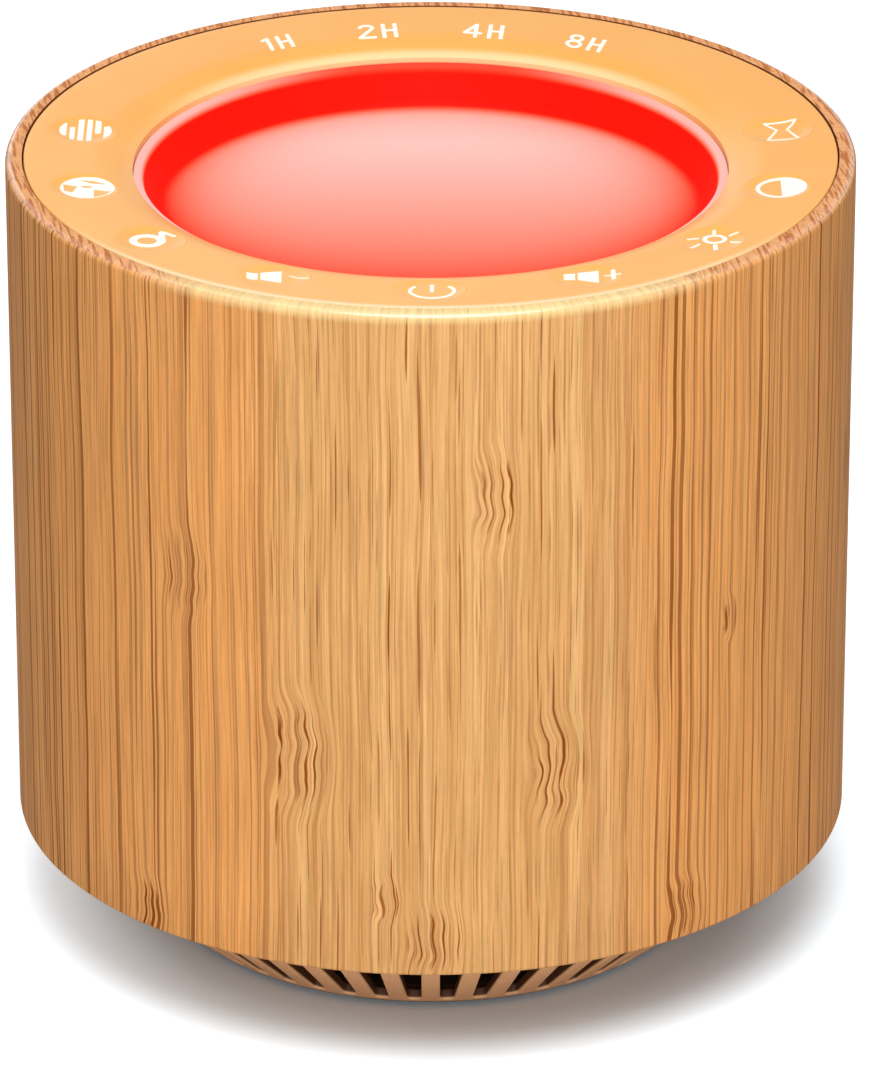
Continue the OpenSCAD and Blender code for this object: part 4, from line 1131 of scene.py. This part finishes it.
def panel_plastic():
    """Smooth wood-coloured plastic, with the faintest mottling in its paint, and a painted highlight towards
    its front edge and beside the lamp at the back.
    """
    g = new_material("panel_plastic")
    x, y, z = g.place()
    cloud = g.noise((x, y, z), 0.09)
    fine = g.noise((x, y, z), 6.0)
    radius = distance(x, y)
    # Painted highlight: pale towards the front edge, and in a band beside the lamp at the back. The front
    # edge also takes a clear coat.
    front = y.smooth(-18.0, -44.0)
    edge = radius.smooth(panel_r - 1.1, panel_r - 0.2) * front
    inner = radius.smooth(lamp_hole_r + 1.7, lamp_hole_r + 0.3) * y.smooth(12.0, 32.0, 0.12, 0.7)
    colour = g.paint(PANEL_DARK,
                     (cloud.smooth(0.3, 0.7), PANEL_LIGHT),
                     (fine.linear(0.35, 0.65, 0.0, 0.12), PANEL_SHADE),
                     (most(edge * 0.75, inner), PANEL_PAINTED_HIGHLIGHT),
                     (front * 0.05, PANEL_PAINTED_HIGHLIGHT))
    g.set("Specular IOR Level", 0.14)
    g.set("Coat Roughness", 0.2)
    g.set("Coat Weight", edge)
    return g.finish(colour, fine.between(0.27, 0.34), fine, 0.1, 0.02)


def lamp_plastic():
    """Satin diffuser lit red from beneath, with painted light in its glow: palest over the back of its floor,
    deep red at its walls.
    """
    g = new_material("lamp_plastic")
    x, y, z = g.place()
    radius = distance(x, y)
    speckle = g.noise((x, y, z), 3.2, 3.0, 0.65)

    # How pale the floor's glow is, as painted light: more towards the back, less towards the edge of a pool
    # of light
    back = y.linear(-30.0, 22.0, 0.03, 0.592)
    pool = g.math("SUBTRACT", 1.0, (distance(x, y - 6.0) / 32.0) ** 5.5, clamp=True)
    low = z.smooth(dish_floor_z + 1.0, dish_floor_z)
    pale = back * pool * low * speckle.between(0.95, 1.05)

    # The lip is painted palest at its left and right, as painted light falling on it from above
    lip = z.smooth(lip_top_z - 1.15, lip_top_z - 0.2)
    pale = most(pale, lip * abs(x).smooth(8.0, 30.0, 0.07, 0.50))

    # Only the dish and its lip glow, and no part that hangs below the panel
    inside = radius.linear(dish_wall_r + 0.3, dish_wall_r + 0.2)
    inside = inside * z.linear(dish_floor_z - 0.4, dish_floor_z - 0.3)
    g.set("Emission Color", g.colour(0.80, pale + 0.004, pale ** 1.27 * 1.06))
    g.set("Emission Strength", most(inside, z.linear(lip_top_z - 0.42, lip_top_z - 0.28)))
    g.set("Specular IOR Level", 0.03)
    base = g.mix(speckle.between(0.0, 1.0), (118, 14, 10), (130, 20, 14))
    return g.finish(base, speckle.between(0.42, 0.55), speckle, 0.15, 0.03)


def base_plastic():
    """Tan plastic outside, with painted shade in dark brown along the rim's lower edge, down the walls of the
    slots and behind them.
    """
    g = new_material("base_plastic")
    x, y, z = g.place()
    depth = z.linear(floor_z, shell_z, base_bottom_r, base_top_r) - distance(x, y)
    above = z.smooth(floor_z + 0.5, floor_z + 0.8)
    below = z.smooth(shell_z + 0.02, shell_z - 0.1)
    fine = g.noise((x, y, z), 3.0, 3.0, 0.6)
    colour = g.paint(BASE_LIGHT,
                     (fine.linear(0.35, 0.65), BASE_SHADE),
                     # Painted shade: dark brown along the lower edge of the rim where it meets the floor, and
                     # down the slots' walls and behind them
                     (z.smooth(floor_z + 0.45, floor_z + 0.15, 0.0, 0.75), BASE_PAINTED_SHADE),
                     (depth.smooth(0.22, 0.6) * (above * below), BASE_PAINTED_SHADE))
    return g.finish(colour, fine.between(0.39, 0.51), fine, 0.3, 0.02)


def plastic(name, colour, shade, roughness=0.45, grain=4.0, depth=0.03):
    """Moulded plastic: a fine spark-eroded grain and a slight change of tone."""
    g = new_material(name)
    place = g.place()
    fine = g.noise(place, grain, 3.0, 0.6)
    cloud = g.noise(place, 0.12)
    tint = g.paint(colour, (fine.linear(0.35, 0.65), shade), (cloud.linear(0.35, 0.65, 0.0, 0.25), shade))
    return g.finish(tint, fine.between(roughness - 0.06, roughness + 0.06), fine, 0.3, depth)


def metal(name, colour, shade, roughness=0.35):
    """Pressed or turned metal with fine marks along its circumference."""
    g = new_material(name, metallic=1.0)
    x, y, z = g.place()
    marks = g.noise((distance(x, y) * 5.0, z * 5.0), detail=3.0)
    tint = g.mix(g.noise((x, y, z), 0.3, 3.0).between(0.0, 1.0), colour, shade)
    return g.finish(tint, marks.between(roughness - 0.08, roughness + 0.1), marks, 0.15, 0.02)


def circuit_board(name, mask, copper):
    """Solder mask over a grid of tracks, with small round pads."""
    g = new_material(name)
    place = g.place()
    point = g.vector(*place)
    cells = g.node("ShaderNodeTexVoronoi", {"Vector": point, "Scale": 0.35, "Randomness": 0.7},
                   feature="DISTANCE_TO_EDGE")
    tracks = cells.smooth(0.05, 0.035)
    dots = g.node("ShaderNodeTexVoronoi", {"Vector": point, "Scale": 0.4, "Randomness": 1.0})
    pads = dots.smooth(0.17, 0.15)
    fine = g.noise(place, 5.0)
    return g.finish(g.paint(mask, (tracks * 0.5, copper), (pads, PAD_SILVER)),
                    fine.between(0.25, 0.35), tracks + pads, 0.3, 0.03)


def woven(name, colour, shade, scale=3.0, roughness=0.85):
    """Cloth or ribbon: two crossed sets of threads."""
    g = new_material(name)
    x, y, z = g.place()
    warp = g.math("SINE", (x + z) * (scale * 2))
    weft = g.math("SINE", (y - z) * (scale * 2))
    threads = (warp * weft).linear(-1.0, 1.0)
    return g.finish(g.mix(threads, colour, shade), roughness, threads, 0.5, 0.06)


def pressed(name, colour, shade, scale, roughness, depth):
    """Paper, rubber, foam or ferrite: a random grain in tone and height."""
    g = new_material(name)
    place = g.place()
    fine = g.noise(place, scale, 4.0, 0.65)
    patch = g.noise(place, scale * 0.08)
    tint = g.paint(colour, (fine.smooth(0.3, 0.7), shade), (patch.linear(0.4, 0.7, 0.0, 0.3), shade))
    return g.finish(tint, fine.between(roughness - 0.05, roughness + 0.05), fine, 0.6, depth)


def glowing(name, colour, shade, strength):
    """Lit or backlit plastic with a slight unevenness in its glow."""
    g = new_material(name)
    fine = g.noise(g.place(), 1.2)
    tint = g.mix(fine.between(0.0, 1.0), colour, shade)
    g.set("Emission Color", tint)
    g.set("Emission Strength", strength)
    return g.finish(tint, fine.between(0.35, 0.5), fine, 0.1, 0.01)


def dress_cad_nodes():
    """Materials for the CAD nodes that stay visible as they are. Returns them by node."""
    board = circuit_board("green_board", (20, 84, 46), (62, 130, 72))
    steel = metal("zinc_steel", (200, 202, 205), (176, 178, 184))
    led = glowing("led_plastic", (250, 246, 232), (240, 230, 206), 0.2)
    red_wire = plastic("wire_red", (176, 26, 30), (150, 20, 24), 0.4, 2.0, 0.01)
    looks = {
        "light_reflector": plastic("white_plastic", (244, 244, 242), (232, 232, 230), 0.3),
        "lamp_board": circuit_board("white_board", (236, 236, 232), (214, 214, 208)),
        "lamp_leds": led,
        "key_leds": led,
        "timer_leds": led,
        "key_board": board,
        "main_board": board,
        "key_switches": plastic("switch_black", (40, 40, 42), (28, 28, 30), 0.4),
        "timer_light_pipes": glowing("light_pipe", (246, 248, 250), (228, 234, 240), 0.1),
        "panel_screws": steel,
        "speaker_screws": steel,
        "base_screws": steel,
        "floor_screws": steel,
        "inner_frame": plastic("frame_plastic", (226, 226, 222), (212, 212, 208)),
        "sound_chip": plastic("chip_black", (34, 34, 36), (22, 22, 24), 0.5, 6.0),
        "amplifier_chip": plastic("chip_grey", (44, 44, 47), (30, 30, 33), 0.5, 6.0),
        "capacitors": plastic("capacitor_sleeve", (52, 50, 92), (40, 38, 76), 0.35, 2.0),
        "lead_connectors": plastic("connector_ivory", (232, 224, 200), (218, 208, 182), 0.4),
        "power_socket": metal("socket_steel", (190, 192, 196), (158, 160, 166), 0.3),
        "socket_bezel": plastic("bezel_plastic", (48, 46, 44), (36, 34, 33), 0.5),
        "speaker_baffle": plastic("baffle_plastic", (50, 48, 46), (38, 37, 36), 0.55),
        "speaker_gasket": pressed("gasket_foam", (34, 34, 35), (16, 16, 17), 3.0, 0.9, 0.15),
        "speaker_basket": metal("basket_steel", (120, 124, 130), (96, 100, 108), 0.45),
        "speaker_front_plate": metal("plate_steel", (196, 192, 176), (176, 170, 150), 0.35),
        "speaker_yoke": metal("yoke_steel", (192, 188, 172), (168, 164, 146), 0.38),
        "speaker_magnet": pressed("ferrite", (52, 52, 55), (34, 34, 37), 5.0, 0.6, 0.03),
        "speaker_surround": pressed("surround_rubber", (28, 28, 29), (18, 18, 19), 4.0, 0.6, 0.03),
        "speaker_spider": woven("spider_cloth", (196, 152, 74), (160, 116, 50)),
        "speaker_cone": pressed("cone_paper", (50, 50, 52), (34, 34, 36), 3.0, 0.85, 0.08),
        "dust_cap": pressed("cap_paper", (36, 36, 38), (24, 24, 26), 4.0, 0.7, 0.05),
        "voice_coil": metal("coil_copper", (184, 110, 62), (156, 84, 44), 0.35),
        "speaker_terminals": pressed("terminal_board", (176, 144, 96), (150, 118, 74), 4.0, 0.7, 0.04),
        "speaker_leads": red_wire,
        "lamp_lead": red_wire,
        "key_ribbon": woven("ribbon_white", (234, 234, 230), (206, 208, 206), 2.0, 0.5),
        # Dark brown, as painted shade behind the grille's slots
        "base_floor": plastic("floor_plastic", (66, 42, 28), (54, 34, 22), 0.55, 3.0, 0.02),
        "sound_deflector": plastic("deflector_plastic", (46, 44, 42), (34, 33, 32), 0.5),
    }
    for name, material in looks.items():
        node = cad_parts[name]
        if not node.data.materials:
            node.data.materials.append(material)
        for slot in node.material_slots:
            slot.material = material
    return looks


# ---- Floor, light and background ----

FLOOR_LIGHT = (234, 246, 254)
FLOOR_SHADE = (232, 244, 252)
FLOOR_GREY = (198, 196, 194)
floor_reach = 4000
floor_glow = 0.62
floor_shade_r = 34.0
floor_open_r = 58.0

# The middle of the shade lies a little behind the object and to its right
floor_shade_x = 2.5
floor_shade_y = 2.0

lamp_size = 0.6
world_light = 0.15


def make_stage():
    """A plain floor that the camera sees as white, apart from the shade close to the object."""
    g = new_material("floor_paint", roughness=0.9)
    x, y, z = g.place()
    seen = g.node("ShaderNodeLightPath", output="Is Camera Ray")
    paint = g.mix(g.noise((x, y, z), 0.05), FLOOR_LIGHT, FLOOR_SHADE)
    shade_r = distance(x - floor_shade_x, y - floor_shade_y)
    g.set("Specular IOR Level", 0.0)
    g.set("Base Color", g.mix(seen, FLOOR_GREY, paint))
    g.set("Emission Color", WHITE)
    g.set("Emission Strength", seen * shade_r.smooth(floor_shade_r, floor_open_r, 0.01, floor_glow))
    corners = [(x * floor_reach, y * floor_reach, 0) for x, y in ((-1, -1), (1, -1), (1, 1), (-1, 1))]
    floor = make_object("floor", corners, [(0, 1, 2, 3)])
    floor.data.materials.append(g.data)


def add_light(name, place, target, power, glossy=True):
    """A soft round lamp. Places are in metres, and the power is in watts."""
    lamp = bpy.data.lights.new(name, "AREA")
    lamp.shape = "DISK"
    lamp.size = lamp_size
    lamp.energy = power
    holder = bpy.data.objects.new(name, lamp)
    holder.location = place
    holder.rotation_euler = (Vector(target) - Vector(place)).to_track_quat("-Z", "Y").to_euler()
    holder.visible_glossy = glossy
    bpy.context.scene.collection.objects.link(holder)


def make_world():
    """White wherever the camera or a reflection looks, and dim as a light."""
    world = bpy.data.worlds.new("studio")
    bpy.context.scene.world = world
    g = Graph(world, "Background", Color=WHITE)
    ray = g.node("ShaderNodeLightPath", output="Is Camera Ray")
    seen = most(ray, ray.output("Is Glossy Ray"), ray.output("Is Transmission Ray"))
    g.set("Strength", seen.spread(world_light, 1.0))


# ---- The scene ----

add_camera()
wood = bamboo()
tan = panel_plastic()
make_shell(wood)
make_panel(tan)
for key_index in range(len(KEYS)):
    make_key(key_index, tan)
make_lamp(lamp_plastic())
make_grille(base_plastic())
make_foot(pressed("foot_rubber", (44, 42, 40), (30, 29, 28), 3.0, 0.7, 0.04))
make_marks(glowing("mark_white", (253, 250, 240), (250, 246, 234), 0.1))
looks = dress_cad_nodes()
make_surround(looks["speaker_surround"])
make_spider(looks["speaker_spider"])
make_stage()
add_light("key_light", (0.02, -1.16, 0.34), (0, 0, 0.05), 4.8)
add_light("high_light", (0.03, -0.42, 0.88), (0, -0.04, 0.05), 7.2)
add_light("back_light", (-0.30, 1.10, 0.42), (0, 0, 0.05), 0.7)
add_light("back_fill", (-0.30, 1.10, 0.24), (0, 0, 0.05), 2.3, glossy=False)
make_world()
bpy.context.scene.view_settings.view_transform = "Standard"
